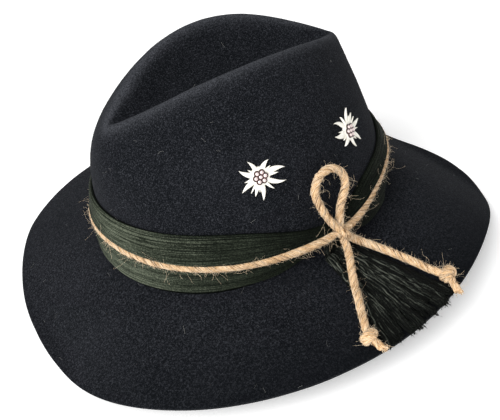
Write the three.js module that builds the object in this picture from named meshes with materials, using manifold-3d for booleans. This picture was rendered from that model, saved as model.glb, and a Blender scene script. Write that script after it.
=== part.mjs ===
import * as THREE from 'three';
import Module from 'manifold-3d';
import { mergeVertices } from 'three/addons/utils/BufferGeometryUtils.js';

const wasm = await Module();
wasm.setup();

// Sizes are in millimetres, angles in degrees. X runs to the front of the hat, Y to the wearer's left.
// Z runs up from the table that the brim's front and back edges rest on. Angles around the head start
// at the front and turn towards the wearer's left.

// Head opening and felt
const headHalfLength = 98;
const headHalfWidth = 83;
const headTaper = 0.03;
const headCentreX = -9.3;
const headCentreY = 1.3;
const feltThickness = 2.4;

// Crown
const footHeight = 45;
const footWave = 1;
const footRounding = 4;
const crownHeightFront = 102;
const crownHeightMiddle = 124;
const crownHeightBack = 94;
const ridgeReachFront = 80.5;
const ridgeReachBack = 85.5;
const ridgeHalfWidth = 38;
const ridgeEndWidth = 11.5;
const ridgeTaper = -0.08;
const ridgeSharpness = 2.35;
const ridgeRounding = 8;
const dentEndInset = 14;
const dentDepth = 7;
const frontFullness = 1.5;
const sideFullness = 2.9;
const backFullness = 4.25;

// Brim. Reach is measured outward from the crown's foot, drop downward from it.
const brimReach = 74;
const brimDrop = 50;
const brimCurve = 1.25;
const brimTable = [
  { around: 0, reach: 1.05, drop: 1.01 },
  { around: 45, reach: 0.92, drop: 0.38 },
  { around: 90, reach: 0.975, drop: 0.34 },
  { around: 135, reach: 1.0, drop: 0.52 },
  { around: 180, reach: 0.8, drop: 1.04 },
];

// Small gap between neighbouring pieces
const gap = 0.3;

// Band of threads round the crown's foot, gathered where the cord ties it
const bandTop = 40;
const bandThickness = 2.6;
const bandSwell = 4.2;
const bandUnderCord = 0.6;
const bandFlare = 6.5;
const grooveFloor = 3.2;
const grooveMouth = 7.4;
const knotAround = 278;
const knotHeight = 19;
const gatherHeight = 12;
const gatherThickness = 4.5;
const gatherSpreadBack = 39;
const gatherSpreadFront = 26;
const bandTable = [
  { around: 0, foot: 0.16, flare: 0, cord: 0.66 },
  { around: 45, foot: 0.14, flare: 0, cord: 0.58 },
  { around: 90, foot: 0.1, flare: 0.2, cord: 0.5 },
  { around: 135, foot: 0.1, flare: 0.8, cord: 0.48 },
  { around: 180, foot: 0.1, flare: 0.7, cord: 0.54 },
  { around: 225, foot: 0.1, flare: 1, cord: 0.45 },
  { around: 270, foot: 0.1, flare: 0.4, cord: 0.455 },
  { around: 315, foot: 0.16, flare: 0, cord: 0.68 },
];

// Jute cord: one length round the band, one tied over it in a bow with a single loop.
// The bow's points and its stubs' ends are x, y, z from the knot's centre.
const cordDiameter = 5;
const cordSides = 10;
const knotRadius = 9.5;
const endKnotRadius = 5.7;
const endKnotHeight = 5;
const bowPoints = [
  [46.2, -46.5, -25.9], [42.2, -42.5, -24.9], [38.8, -37.9, -23.5], [35.6, -31.9, -21.9], [32, -26.1, -19.9],
  [28.2, -20.3, -18.1], [24.4, -14.5, -16.5], [20.2, -9.1, -14.5], [15, -4.5, -11.7], [8.4, -2.7, -6.3],
  [0.2, -3.7, 3.3],
  [-5.4, -1.9, 11.3], [-8.6, 0.3, 18.5], [-10.8, 2.1, 25.5], [-11.6, 3.9, 31.1], [-10, 5.5, 36.1],
  [-6.4, 6.9, 39.9], [-1.2, 8.1, 41.5], [4.6, 8.9, 40.7], [9.6, 9.1, 37.1], [12.2, 8.5, 31.9],
  [11.8, 7.1, 26.5], [8.6, 5.3, 21.5], [5.2, 3.5, 16.9], [2.6, 1.1, 12.3],
  [0.4, -1.5, 2.7],
  [2.2, -2.7, -5.7], [2.2, -5.9, -10.7], [-1, -12.5, -13.5], [-6.2, -22.3, -16.7], [-10.6, -31.7, -19.9],
  [-14.6, -40.7, -22.5], [-18.6, -49.5, -24.7], [-21.4, -55.7, -26.3], [-22.8, -60.7, -27.7],
];
const stubTable = [
  { name: 'front', x: 44, y: -59.7, z: -30.3 },
  { name: 'side', x: -20, y: -70.1, z: -31.7 },
];

// Tassel of the band's thread ends, fanned out over the brim
const tasselHeadWidth = 12;
const tasselHeadDrop = 1.2;
const tasselHeadThickness = 5;
const tasselEndThickness = 2.8;
const tasselFirstAround = 268.3;
const tasselLastAround = 290.7;
const tasselOverhang = -1.5;
const tasselBow = 0.4;
const tasselRagged = 6;
const tasselValley = 0.5;
const tasselTable = [
  { ragged: 0.1, thick: 0.8 },
  { ragged: 0.7, thick: 0.95 },
  { ragged: 0.3, thick: 0.85 },
  { ragged: 0.9, thick: 1 },
  { ragged: 0.5, thick: 0.88 },
  { ragged: 1, thick: 1 },
  { ragged: 0.2, thick: 0.9 },
  { ragged: 0.8, thick: 0.98 },
  { ragged: 0.4, thick: 0.86 },
  { ragged: 0.9, thick: 1 },
  { ragged: 0.3, thick: 0.9 },
  { ragged: 0.6, thick: 0.8 },
];

// Flower badges
const badgeRadius = 16;
const badgeThickness = 1;
const petalRoot = 5.8;
const petalCrown = 0.6;
const heartRadius = 4.7;
const heartThickness = 0.5;
const beadRadius = 1.35;
const beadRing = 3.1;
const beadFlatness = 0.6;
const postRadius = 0.6;
const postLength = 7;
const clutchRadius = 4.5;
const clutchThickness = 2.5;
const clutchStand = 0.7;
const badgeTable = [
  { name: 'side', around: 255.5, height: 69, turn: 0 },
  { name: 'front', around: 297.5, height: 68, turn: 169 },
];
const petalTable = [
  { turn: 7, length: 0.99, width: 0.26, bend: -7 },
  { turn: 29, length: 0.56, width: 0.12, bend: 0 },
  { turn: 52, length: 0.7, width: 0.22, bend: -8 },
  { turn: 107, length: 0.73, width: 0.19, bend: 6 },
  { turn: 132, length: 0.54, width: 0.12, bend: 0 },
  { turn: 149, length: 0.83, width: 0.22, bend: -6 },
  { turn: 180, length: 0.61, width: 0.12, bend: 0 },
  { turn: 199, length: 0.87, width: 0.22, bend: 4 },
  { turn: 222, length: 0.69, width: 0.1, bend: 0 },
  { turn: 238, length: 0.74, width: 0.18, bend: 0 },
  { turn: 251, length: 0.58, width: 0.09, bend: 0 },
  { turn: 264, length: 0.88, width: 0.22, bend: -5 },
  { turn: 299, length: 0.71, width: 0.14, bend: 4 },
  { turn: 326, length: 1, width: 0.21, bend: 9 },
  { turn: 354, length: 0.71, width: 0.13, bend: 0 },
];

const columns = 60;
const weld = 0.05;
const rad = THREE.MathUtils.degToRad;
const outerHalfLength = headHalfLength + feltThickness;
const outerHalfWidth = headHalfWidth + feltThickness;

// Smooth closed curve through a table's values, one row for each equal step around the head
function aroundTable(table, key, angle) {
  const count = table.length;
  const place = ((angle / (2 * Math.PI)) * count + count) % count;
  const first = Math.floor(place);
  const f = place - first;
  const at = (i) => table[(i + count) % count][key];
  const [a, b, c, d] = [at(first - 1), at(first), at(first + 1), at(first + 2)];
  return 0.5 * (2 * b + (c - a) * f + (2 * a - 5 * b + 4 * c - d) * f * f + (3 * b - a - 3 * c + d) * f * f * f);
}

// The right half of the brim mirrors the left
const wholeBrimTable = [...brimTable, ...brimTable.slice(1, -1).reverse()];

function footPoint(angle) {
  const c = Math.cos(angle);
  const s = Math.sin(angle);
  const wide = outerHalfWidth * (1 - headTaper * c);
  const tangentX = -outerHalfLength * s;
  const tangentY = wide * c + outerHalfWidth * headTaper * s * s;
  const long = Math.hypot(tangentX, tangentY);
  return {
    x: headCentreX + outerHalfLength * c,
    y: headCentreY + wide * s,
    z: footHeight + footWave * Math.cos(2 * angle),
    outX: tangentY / long,
    outY: -tangentX / long,
  };
}

function ridgePoint(angle) {
  const c = Math.cos(angle);
  const s = Math.sin(angle);
  const middle = (ridgeReachFront - ridgeReachBack) / 2;
  const half = (ridgeReachFront + ridgeReachBack) / 2;
  const lens = (ridgeHalfWidth - ridgeEndWidth) * Math.abs(s) ** ridgeSharpness + ridgeEndWidth * Math.abs(s);
  const ends = (crownHeightFront + crownHeightBack) / 2;
  const rise = crownHeightMiddle + ((crownHeightFront - crownHeightBack) / 2) * c
    + (ends - crownHeightMiddle) * c * c;
  return {
    x: headCentreX + middle + half * c,
    y: headCentreY + Math.sign(s) * lens * (1 - ridgeTaper * c),
    z: footHeight + rise,
  };
}

// A point of the crown's outer wall at a share of the way from the foot to the ridge
function wallPoint(angle, share) {
  const foot = footPoint(angle);
  const ridge = ridgePoint(angle);
  const c = Math.cos(angle);
  const s = Math.sin(angle);
  const fullness = c > 0 ? frontFullness : backFullness;
  const lean = share ** (c * c * fullness + s * s * sideFullness);
  return new THREE.Vector3(
    foot.x + (ridge.x - foot.x) * lean,
    foot.y + (ridge.y - foot.y) * lean,
    foot.z + (ridge.z - foot.z) * share,
  );
}

// A point of the brim's upper face at a share of the way from the crown's foot to the edge
function brimPoint(angle, share) {
  const foot = footPoint(angle);
  const reach = brimReach * aroundTable(wholeBrimTable, 'reach', angle) * share;
  const drop = brimDrop * aroundTable(wholeBrimTable, 'drop', angle) * share ** brimCurve;
  return new THREE.Vector3(
    foot.x + foot.outX * reach,
    foot.y + foot.outY * reach,
    Math.max(foot.z - drop, feltThickness),
  );
}

function shareAtHeight(angle, height) {
  return height / (ridgePoint(angle).z - footPoint(angle).z);
}

function wallNormal(angle, share) {
  const step = 0.001;
  const along = wallPoint(angle + step, share).sub(wallPoint(angle - step, share));
  const up = wallPoint(angle, share + step).sub(wallPoint(angle, share - step));
  return along.cross(up).normalize();
}

// A point of the felt's upper face: run is measured out along the brim, or up the wall where negative
function feltPoint(angle, run) {
  const reach = brimReach * aroundTable(wholeBrimTable, 'reach', angle);
  if (run >= footRounding) return brimPoint(angle, run / reach);
  if (run <= -footRounding) return wallPoint(angle, shareAtHeight(angle, -run));
  const footIn = brimPoint(angle, footRounding / reach);
  const footUp = wallPoint(angle, shareAtHeight(angle, footRounding));
  return curvePoint(footIn, wallPoint(angle, 0), footUp, 0.5 - run / (2 * footRounding));
}

// A point a distance out from the felt
function offFelt(angle, run, out) {
  const step = 0.001;
  const along = feltPoint(angle + step, run).sub(feltPoint(angle - step, run));
  const up = feltPoint(angle, run - 0.05).sub(feltPoint(angle, run + 0.05));
  return feltPoint(angle, run).addScaledVector(along.cross(up).normalize(), out);
}

function curvePoint(from, corner, to, u) {
  return from.clone().multiplyScalar((1 - u) * (1 - u))
    .addScaledVector(corner, 2 * u * (1 - u))
    .addScaledVector(to, u * u);
}

// Closed mesh from rows of points that each run once round, joined row to row and last to first
function ringMesh(rows, open) {
  const count = rows[0].length;
  const positions = rows.flat().flatMap((p) => [p.x, p.y, p.z]);
  const index = [];
  const last = open ? rows.length - 1 : rows.length;
  for (let r = 0; r < last; r += 1) {
    const next = (r + 1) % rows.length;
    for (let i = 0; i < count; i += 1) {
      const j = (i + 1) % count;
      index.push(r * count + i, r * count + j, next * count + j);
      index.push(r * count + i, next * count + j, next * count + i);
    }
  }
  const geometry = new THREE.BufferGeometry();
  geometry.setAttribute('position', new THREE.Float32BufferAttribute(positions, 3));
  geometry.setIndex(index);
  return geometry;
}

function toManifold(geometry, matrix) {
  const bare = geometry.clone();
  bare.deleteAttribute('normal');
  bare.deleteAttribute('uv');
  if (matrix) bare.applyMatrix4(matrix);
  const merged = mergeVertices(bare, 1e-3);
  const vertProperties = new Float32Array(merged.getAttribute('position').array);
  const triVerts = new Uint32Array(merged.getIndex().array);
  return new wasm.Manifold(new wasm.Mesh({ numProp: 3, vertProperties, triVerts }));
}

function fromManifold(solid) {
  const mesh = solid.getMesh();
  const geometry = new THREE.BufferGeometry();
  geometry.setAttribute('position', new THREE.Float32BufferAttribute(mesh.vertProperties, 3));
  geometry.setIndex([...mesh.triVerts]);
  return geometry;
}

const hat = new THREE.Group();

function addPiece(name, geometry, material, parent = hat) {
  const mesh = new THREE.Mesh(geometry, material.clone());
  mesh.name = name;
  parent.add(mesh);
  return mesh;
}

const felt = new THREE.MeshStandardMaterial({ color: 0x1c1e22, roughness: 0.95, metalness: 0 });
const thread = new THREE.MeshStandardMaterial({ color: 0x28342a, roughness: 0.9, metalness: 0 });
const jute = new THREE.MeshStandardMaterial({ color: 0xcfa878, roughness: 0.9, metalness: 0 });
const ivory = new THREE.MeshStandardMaterial({ color: 0xf0ece0, roughness: 0.5, metalness: 0 });
const heartBrown = new THREE.MeshStandardMaterial({ color: 0x3a1814, roughness: 0.6, metalness: 0 });
const beadSilver = new THREE.MeshStandardMaterial({ color: 0xd9c8c4, roughness: 0.3, metalness: 0.8 });
const steel = new THREE.MeshStandardMaterial({ color: 0xb8babd, roughness: 0.35, metalness: 1 });

// Felt body: crown and brim in one shell
const brimShares = [1, 0.93, 0.72, 0.46, 0.22];
const wallShares = [0.15, 0.32, 0.48, 0.62, 0.74, 0.84];
const dentShares = [0.62, 0.3, 0];

// A point of the dent between the ridge and the crease that runs along the middle of the crown
function dentPoint(angle, share) {
  const c = Math.cos(angle);
  const ridge = ridgePoint(angle);
  const middle = (ridgeReachFront - ridgeReachBack) / 2;
  const half = (ridgeReachFront + ridgeReachBack) / 2 - dentEndInset;
  const ends = (crownHeightFront + crownHeightBack) / 2 + ((crownHeightFront - crownHeightBack) / 2) * c;
  const floor = footHeight + ends - dentDepth * (1 - c * c) - 3;
  const x = headCentreX + middle + half * c;
  return new THREE.Vector3(
    x + (ridge.x - x) * share,
    headCentreY + (ridge.y - headCentreY) * share,
    floor + (ridge.z - floor) * share ** 1.8,
  );
}

function feltColumn(angle) {
  const high = ridgePoint(angle).z - footPoint(angle).z;
  const points = brimShares.map((share) => brimPoint(angle, share));
  [footRounding, 0, -footRounding].forEach((run) => points.push(feltPoint(angle, run)));
  wallShares.forEach((share) => points.push(wallPoint(angle, share)));
  const ridge = wallPoint(angle, 1);
  const before = wallPoint(angle, 1 - ridgeRounding / high);
  const dentRun = ridge.distanceTo(dentPoint(angle, 0));
  const after = dentPoint(angle, 1 - Math.min(ridgeRounding / dentRun, 0.3));
  [0.1, 0.5, 0.9].forEach((u) => points.push(curvePoint(before, ridge, after, u)));
  dentShares.forEach((share) => points.push(dentPoint(angle, share)));
  return points;
}

const angles = Array.from({ length: columns }, (_, i) => (2 * Math.PI * i) / columns);
const columnPoints = angles.map(feltColumn);
const rowCount = columnPoints[0].length;
const upper = Array.from({ length: rowCount }, (_, r) => columnPoints.map((points) => points[r]));

// The inner face lies one felt thickness under the outer one
const lower = upper.map((row, r) => row.map((point, i) => {
  const before = row[(i + columns - 1) % columns];
  const after = row[(i + 1) % columns];
  const outRow = upper[Math.max(r - 1, 0)][i];
  const inRow = upper[Math.min(r + 1, rowCount - 1)][i];
  const normal = after.clone().sub(before).cross(inRow.clone().sub(outRow)).normalize();
  if (r === rowCount - 1) {
    normal.y = 0;
    normal.normalize();
  }
  const inner = point.clone().addScaledVector(normal, -feltThickness);
  if (point.z <= feltThickness) inner.z = 0;
  inner.z = Math.max(inner.z, 0);
  return inner;
}));

// Rounded raw edge of the brim, half a felt thickness proud
const edge = upper[0].map((point, i) => {
  const foot = footPoint(angles[i]);
  return point.clone().add(lower[0][i]).multiplyScalar(0.5)
    .add(new THREE.Vector3(foot.outX, foot.outY, 0).multiplyScalar(feltThickness / 2));
});

const coarseRows = [3, 9];
const innerRows = lower.filter((_, r) => !coarseRows.includes(r)).reverse();
const feltShell = toManifold(ringMesh([...innerRows, edge, ...upper], true));

// Frame of a badge: X forward along the felt, Y up it, Z out of it, on the felt's face
function badgeFrame(row) {
  const angle = rad(row.around);
  const share = shareAtHeight(angle, row.height);
  const out = wallNormal(angle, share);
  const forward = wallPoint(angle + 0.001, share).sub(wallPoint(angle - 0.001, share)).normalize();
  const up = out.clone().cross(forward);
  return new THREE.Matrix4().makeBasis(forward, up, out).setPosition(wallPoint(angle, share));
}

const postHole = new THREE.CylinderGeometry(postRadius + gap, postRadius + gap, 4 * feltThickness, 8);
postHole.rotateX(Math.PI / 2);
let feltSolid = feltShell;
badgeTable.forEach((row) => {
  feltSolid = feltSolid.subtract(toManifold(postHole, badgeFrame(row)));
});
addPiece('felt_body', fromManifold(feltSolid), felt);

// Band of threads
const gatherPlace = rad(knotAround);
const footRadius = (outerHalfLength + outerHalfWidth) / 2;

// How far the band is gathered in towards the knot, from 0 far from it to 1 at it
function gathered(angle) {
  const turn = Math.atan2(Math.sin(angle - gatherPlace), Math.cos(angle - gatherPlace));
  const spread = turn > 0 ? gatherSpreadFront : gatherSpreadBack;
  return Math.exp(-(((turn * footRadius) / spread) ** 2));
}

function bandAt(angle) {
  const pull = gathered(angle);
  const mix = (free, tied) => free + (tied - free) * pull;
  const flare = bandFlare * aroundTable(bandTable, 'flare', angle);
  const foot = -bandTop * aroundTable(bandTable, 'foot', angle);
  return {
    top: mix(bandTop, knotHeight + gatherHeight / 2),
    bottom: mix(flare > 0 ? Math.max(flare, foot) : foot, gatherHeight / 2 - knotHeight),
    cord: mix(bandTop * aroundTable(bandTable, 'cord', angle), knotHeight),
    thickness: mix(bandThickness, gatherThickness),
    swell: mix(bandSwell, gatherThickness),
    underCord: mix(bandUnderCord, gatherThickness),
  };
}

// Section of the band: flat on the felt, swelling above and below the groove that the cord is pulled into
function bandSection(angle) {
  const { top, bottom, cord, thickness, swell, underCord } = bandAt(angle);
  const at = (share) => bottom - (top + bottom) * share;
  const inner = [0, 0.15, 0.33, 0.62, 1].map((share) => offFelt(angle, at(share), gap));
  const above = cord + grooveMouth / 2;
  const below = cord - grooveMouth / 2;
  const low = offFelt(angle, at(0.02), gap + thickness * 0.6);
  const lip = offFelt(angle, -below, gap + swell);
  const foot = footPoint(angle);
  const bulge = low.clone().add(lip).multiplyScalar(0.5)
    .add(new THREE.Vector3(foot.outX, foot.outY, 0).multiplyScalar(thickness / 3));
  return [
    ...inner,
    offFelt(angle, -top + 0.3, gap + thickness * 0.6),
    offFelt(angle, -(above + (top - above) * 0.8), gap + thickness),
    offFelt(angle, -(above + (top - above) * 0.35), gap + (thickness + swell) / 2),
    offFelt(angle, -above, gap + swell),
    offFelt(angle, -cord - grooveFloor / 2, gap + underCord),
    offFelt(angle, -cord + grooveFloor / 2, gap + underCord),
    lip,
    curvePoint(low, bulge, lip, 0.5),
    low,
  ];
}

const bandSections = angles.map(bandSection);
const bandRows = bandSections[0].map((_, r) => bandSections.map((section) => section[r]));
addPiece('hatband', ringMesh([...bandRows].reverse()), thread);

// Part of a longer curve, between two shares of its length
class CurveSpan extends THREE.Curve {
  constructor(whole, from, to) {
    super();
    this.whole = whole;
    this.from = from;
    this.to = to;
  }

  getPoint(t) {
    const u = this.from + (this.to - this.from) * t;
    return this.whole.getPointAt(u - Math.floor(u));
  }
}

// Share of the curve's length, going on from a start, where it comes to a distance from a point
function shareWhere(curve, point, distance, start, step, within) {
  let u = start;
  while ((curve.getPointAt(u - Math.floor(u)).distanceTo(point) < distance) === within) u += step;
  return u;
}

function roundShape(radius, sides) {
  const corners = Array.from({ length: sides }, (_, i) => {
    const turn = (2 * Math.PI * i) / sides;
    return new THREE.Vector2(radius * Math.cos(turn), radius * Math.sin(turn));
  });
  return new THREE.Shape(corners);
}

function cordTube(curve, stepLength) {
  const steps = Math.max(3, Math.round(curve.getLength() / stepLength));
  return new THREE.ExtrudeGeometry(roundShape(cordDiameter / 2, cordSides), {
    steps, extrudePath: curve, bevelEnabled: false,
  });
}

// Cord round the band, from one side of the knot to the other
const cordSeat = (angle) => {
  const { cord, underCord } = bandAt(angle);
  return offFelt(angle, -cord, gap + underCord + gap + cordDiameter / 2);
};
const ringCurve = new THREE.CatmullRomCurve3(angles.map((angle) => cordSeat(angle + gatherPlace)), true);
ringCurve.arcLengthDivisions = 1200;
const knotCentre = cordSeat(gatherPlace);
const fine = 0.0002;
const ringStart = shareWhere(ringCurve, knotCentre, knotRadius + gap, 0, fine, true);
const ringEnd = shareWhere(ringCurve, knotCentre, knotRadius + gap, 1, -fine, true);
addPiece('cord_round', cordTube(new CurveSpan(ringCurve, ringStart, ringEnd), 2.6 * cordDiameter), jute);

// Bow cord: front tail, over the knot, the loop, back through the knot, side tail
const fromKnot = (x, y, z) => new THREE.Vector3(x, y, z).add(knotCentre);
const bowCurve = new THREE.CatmullRomCurve3(bowPoints.map((p) => fromKnot(...p)));
bowCurve.arcLengthDivisions = 1200;
const frontEnd = fromKnot(...bowPoints[0]);
const sideEnd = fromKnot(...bowPoints[bowPoints.length - 1]);
const tailClear = endKnotRadius + gap;
const clear = knotRadius + gap;
const frontFrom = shareWhere(bowCurve, frontEnd, tailClear, 0, fine, true);
const frontTo = shareWhere(bowCurve, knotCentre, clear, frontFrom, fine, false);
const overFrom = shareWhere(bowCurve, knotCentre, knotRadius, frontTo, fine, false);
const overTo = shareWhere(bowCurve, knotCentre, knotRadius, overFrom + fine, fine, true);
const loopFrom = shareWhere(bowCurve, knotCentre, clear, overTo, fine, true);
const sideTo = shareWhere(bowCurve, sideEnd, tailClear, 1 - fine, -fine, true);
const sideFrom = shareWhere(bowCurve, knotCentre, clear, sideTo, -fine, false);
const underTo = shareWhere(bowCurve, knotCentre, knotRadius, sideFrom, -fine, false);
const underFrom = shareWhere(bowCurve, knotCentre, knotRadius, underTo - fine, -fine, true);
const loopTo = shareWhere(bowCurve, knotCentre, clear, underFrom, -fine, true);
addPiece('cord_tail_front', cordTube(new CurveSpan(bowCurve, frontFrom, frontTo), 2 * cordDiameter), jute);
addPiece('cord_loop', cordTube(new CurveSpan(bowCurve, loopFrom, loopTo), 1.2 * cordDiameter), jute);
addPiece('cord_tail_side', cordTube(new CurveSpan(bowCurve, sideFrom, sideTo), 2 * cordDiameter), jute);

// Knot: the three passes of cord that cross in it
const ringThroughFrom = shareWhere(ringCurve, knotCentre, knotRadius, 1, -fine, true) - 1;
const ringThroughTo = shareWhere(ringCurve, knotCentre, knotRadius, 0, fine, true);
const knotSolid = [
  new CurveSpan(ringCurve, ringThroughFrom, ringThroughTo),
  new CurveSpan(bowCurve, overFrom, overTo),
  new CurveSpan(bowCurve, underFrom, underTo),
].map((curve) => toManifold(cordTube(curve, 0.8 * cordDiameter))).reduce((a, b) => a.add(b));
addPiece('cord_knot', fromManifold(knotSolid.simplify(weld)), jute);

// End knots of the tails, each with the short frayed stub beyond it
stubTable.forEach((row) => {
  const centre = row.name === 'front' ? frontEnd : sideEnd;
  const ball = new THREE.SphereGeometry(1, 12, 8);
  ball.scale(endKnotRadius, endKnotRadius, endKnotHeight);
  ball.translate(centre.x, centre.y, centre.z);
  const stub = new THREE.LineCurve3(centre, fromKnot(row.x, row.y, row.z));
  const endKnot = toManifold(ball).add(toManifold(cordTube(stub, 4 * cordDiameter)));
  addPiece(`end_knot_${row.name}`, fromManifold(endKnot.simplify(weld)), jute);
});

// Tassel: locks of thread that run out from one head under the knot, each a ridge with its own cut end
const headTop = gatherHeight / 2 - knotHeight + tasselHeadDrop;
const tasselShares = [0, 0.1, 0.28, 0.5, 0.75, 1];
const lockShape = [
  { across: 0, thick: tasselValley, cut: -tasselRagged },
  { across: 0.3, thick: 0.95, cut: 0 },
  { across: 0.7, thick: 1, cut: 0 },
];
const lockCount = tasselTable.length;
const strandRow = tasselTable.flatMap((lock, i) => lockShape.map((part) => ({
  place: (i + part.across) / lockCount,
  thick: part.thick * lock.thick,
  cut: part.cut + tasselRagged * lock.ragged,
})));
strandRow.push({ place: 1, thick: tasselValley, cut: 0 });
strandRow.reverse();

function tasselPoint(strand, share, lifted) {
  const from = gatherPlace + ((strand.place - 0.5) * tasselHeadWidth) / footRadius;
  const to = rad(tasselFirstAround + (tasselLastAround - tasselFirstAround) * strand.place);
  const reach = brimReach * aroundTable(wholeBrimTable, 'reach', to);
  const end = reach + tasselOverhang + strand.cut * share ** 4;
  const angle = from + (to - from) * Math.max(0, (share - 0.1) / 0.9) ** (1 - tasselBow * strand.place);
  const run = headTop + (end - headTop) * share;
  const full = tasselHeadThickness + (tasselEndThickness - tasselHeadThickness) * share;
  const ridged = 1 + (strand.thick - 1) * Math.min(1, share / 0.3);
  const swell = share === 0 ? 0.6 : 1;
  return offFelt(angle, run, gap + (lifted ? full * ridged * swell : 0));
}

// Closed sheet from rows of upper points and rows of lower points
function sheetMesh(topRows, bottomRows) {
  const loops = topRows.map((row, r) => [...row, ...[...bottomRows[r]].reverse()]);
  const geometry = ringMesh(loops, true);
  const index = [...geometry.getIndex().array];
  const count = loops[0].length;
  const last = (loops.length - 1) * count;
  for (let i = 0; i < count / 2 - 1; i += 1) {
    const j = count - 1 - i;
    index.push(i, j, i + 1, i + 1, j, j - 1);
    index.push(last + i, last + i + 1, last + j, last + i + 1, last + j - 1, last + j);
  }
  geometry.setIndex(index);
  return geometry;
}

const tasselTop = tasselShares.map((share) => strandRow.map((strand) => tasselPoint(strand, share, true)));
const tasselBase = tasselShares.map((share) => strandRow.map((strand) => tasselPoint(strand, share, false)));
addPiece('tassel', sheetMesh(tasselTop, tasselBase), thread);

// Badges: petals and post in one solid, a heart, seven beads and the clutch on the post.
// Each petal has five corners from its valley on, and a raised middle; the hub between them is flat.
function petalsMesh() {
  const positions = [0, 0, 0, 0, 0, badgeThickness];
  const index = [];
  const count = petalTable.length;
  const add = (radius, turn, z) => positions.push(radius * Math.cos(turn), radius * Math.sin(turn), z);
  petalTable.forEach((petal, i) => {
    const before = petalTable[(i + count - 1) % count];
    const turn = rad(petal.turn);
    const gapBefore = (turn - rad(before.turn) + 2 * Math.PI) % (2 * Math.PI);
    const long = badgeRadius * petal.length;
    const half = (badgeRadius * petal.width) / 2;
    const middle = petalRoot + (long - petalRoot) * 0.5;
    const bent = turn - rad(petal.bend);
    const tip = half * 0.2;
    const corners = [
      [petalRoot, turn - gapBefore * (petal.length / (petal.length + before.length))],
      [middle, bent - half / middle],
      [long, turn - tip / long],
      [long, turn + tip / long],
      [middle, bent + half / middle],
    ];
    corners.forEach((corner) => { add(...corner, 0); add(...corner, badgeThickness); });
    add(middle, bent, 0);
    add(middle, bent, badgeThickness + petalCrown);

    const first = 2 + 12 * i;
    const next = 2 + 12 * ((i + 1) % count);
    const low = [first, first + 2, first + 4, first + 6, first + 8, next];
    const hub = first + 10;
    index.push(0, next, first, 1, first + 1, next + 1, hub, first, next, hub + 1, next + 1, first + 1);
    low.slice(1).forEach((to, k) => {
      const from = low[k];
      index.push(from, to, to + 1, from, to + 1, from + 1, hub, to, from, hub + 1, from + 1, to + 1);
    });
  });
  const geometry = new THREE.BufferGeometry();
  geometry.setAttribute('position', new THREE.Float32BufferAttribute(positions, 3));
  geometry.setIndex(index);
  return geometry;
}

badgeTable.forEach((row) => {
  const badge = new THREE.Group();
  badge.matrix.copy(badgeFrame(row).multiply(new THREE.Matrix4().makeRotationZ(rad(row.turn))));
  badge.matrix.decompose(badge.position, badge.quaternion, badge.scale);
  hat.add(badge);
  const petals = petalsMesh();
  petals.translate(0, 0, gap);
  const post = new THREE.CylinderGeometry(postRadius, postRadius, postLength, 8);
  post.rotateX(Math.PI / 2);
  post.translate(0, 0, gap + badgeThickness / 2 - postLength / 2);
  const petalSolid = toManifold(petals).add(toManifold(post));
  addPiece(`badge_${row.name}_petals`, fromManifold(petalSolid), ivory, badge);

  const heartTop = gap + badgeThickness + gap + heartThickness;
  const heart = new THREE.CylinderGeometry(heartRadius, heartRadius, heartThickness, 14);
  heart.rotateX(Math.PI / 2);
  addPiece(`badge_${row.name}_heart`, heart, heartBrown, badge).position.z = heartTop - heartThickness / 2;

  for (let i = 0; i < 7; i += 1) {
    const bead = new THREE.IcosahedronGeometry(beadRadius, 1).scale(1, 1, beadFlatness);
    const mesh = addPiece(`badge_${row.name}_bead_${i + 1}`, bead, beadSilver, badge);
    const turn = (Math.PI / 3) * i;
    const ring = i < 6 ? beadRing : 0;
    mesh.position.set(ring * Math.cos(turn), ring * Math.sin(turn), heartTop + gap + beadRadius * beadFlatness);
  }

  const clutchShape = roundShape(clutchRadius, 14);
  clutchShape.holes.push(new THREE.Path(roundShape(postRadius + gap, 8).getPoints().reverse()));
  const clutch = new THREE.ExtrudeGeometry(clutchShape, { depth: clutchThickness, bevelEnabled: false });
  addPiece(`badge_${row.name}_clutch`, clutch, steel, badge)
    .position.z = -feltThickness - clutchStand - clutchThickness;
});

export default hat;
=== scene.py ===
import bpy
import bmesh
import math
import random
from mathutils import Matrix, Vector, noise


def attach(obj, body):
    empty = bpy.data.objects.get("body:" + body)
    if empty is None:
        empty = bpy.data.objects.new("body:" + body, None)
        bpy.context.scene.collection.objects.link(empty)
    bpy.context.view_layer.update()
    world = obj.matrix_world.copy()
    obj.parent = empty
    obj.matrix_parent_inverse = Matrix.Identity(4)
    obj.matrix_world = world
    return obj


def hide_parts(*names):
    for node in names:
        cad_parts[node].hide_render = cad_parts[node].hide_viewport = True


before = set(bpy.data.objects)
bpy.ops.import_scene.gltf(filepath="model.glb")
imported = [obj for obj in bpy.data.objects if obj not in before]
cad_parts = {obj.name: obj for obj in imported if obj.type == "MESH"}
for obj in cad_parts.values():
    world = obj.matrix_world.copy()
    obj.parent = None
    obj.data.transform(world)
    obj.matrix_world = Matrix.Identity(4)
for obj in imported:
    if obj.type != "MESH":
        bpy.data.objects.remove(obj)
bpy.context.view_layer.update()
mm = 0.001
print("frame loaded with", len(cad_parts), "solids")


def linked(name, data):
    made = bpy.data.objects.new(name, data)
    bpy.context.scene.collection.objects.link(made)
    return made


# camera: angles in degrees, lengths and the lens in millimetres

camera = {"lookAt": (18.44, 55.81, -5.69), "azimuth": -25.56, "elevation": 34.75, "roll": -8.12,
          "distance": 712.56, "lens": 66.03, "sensor": 36, "nearest": 10}


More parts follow.
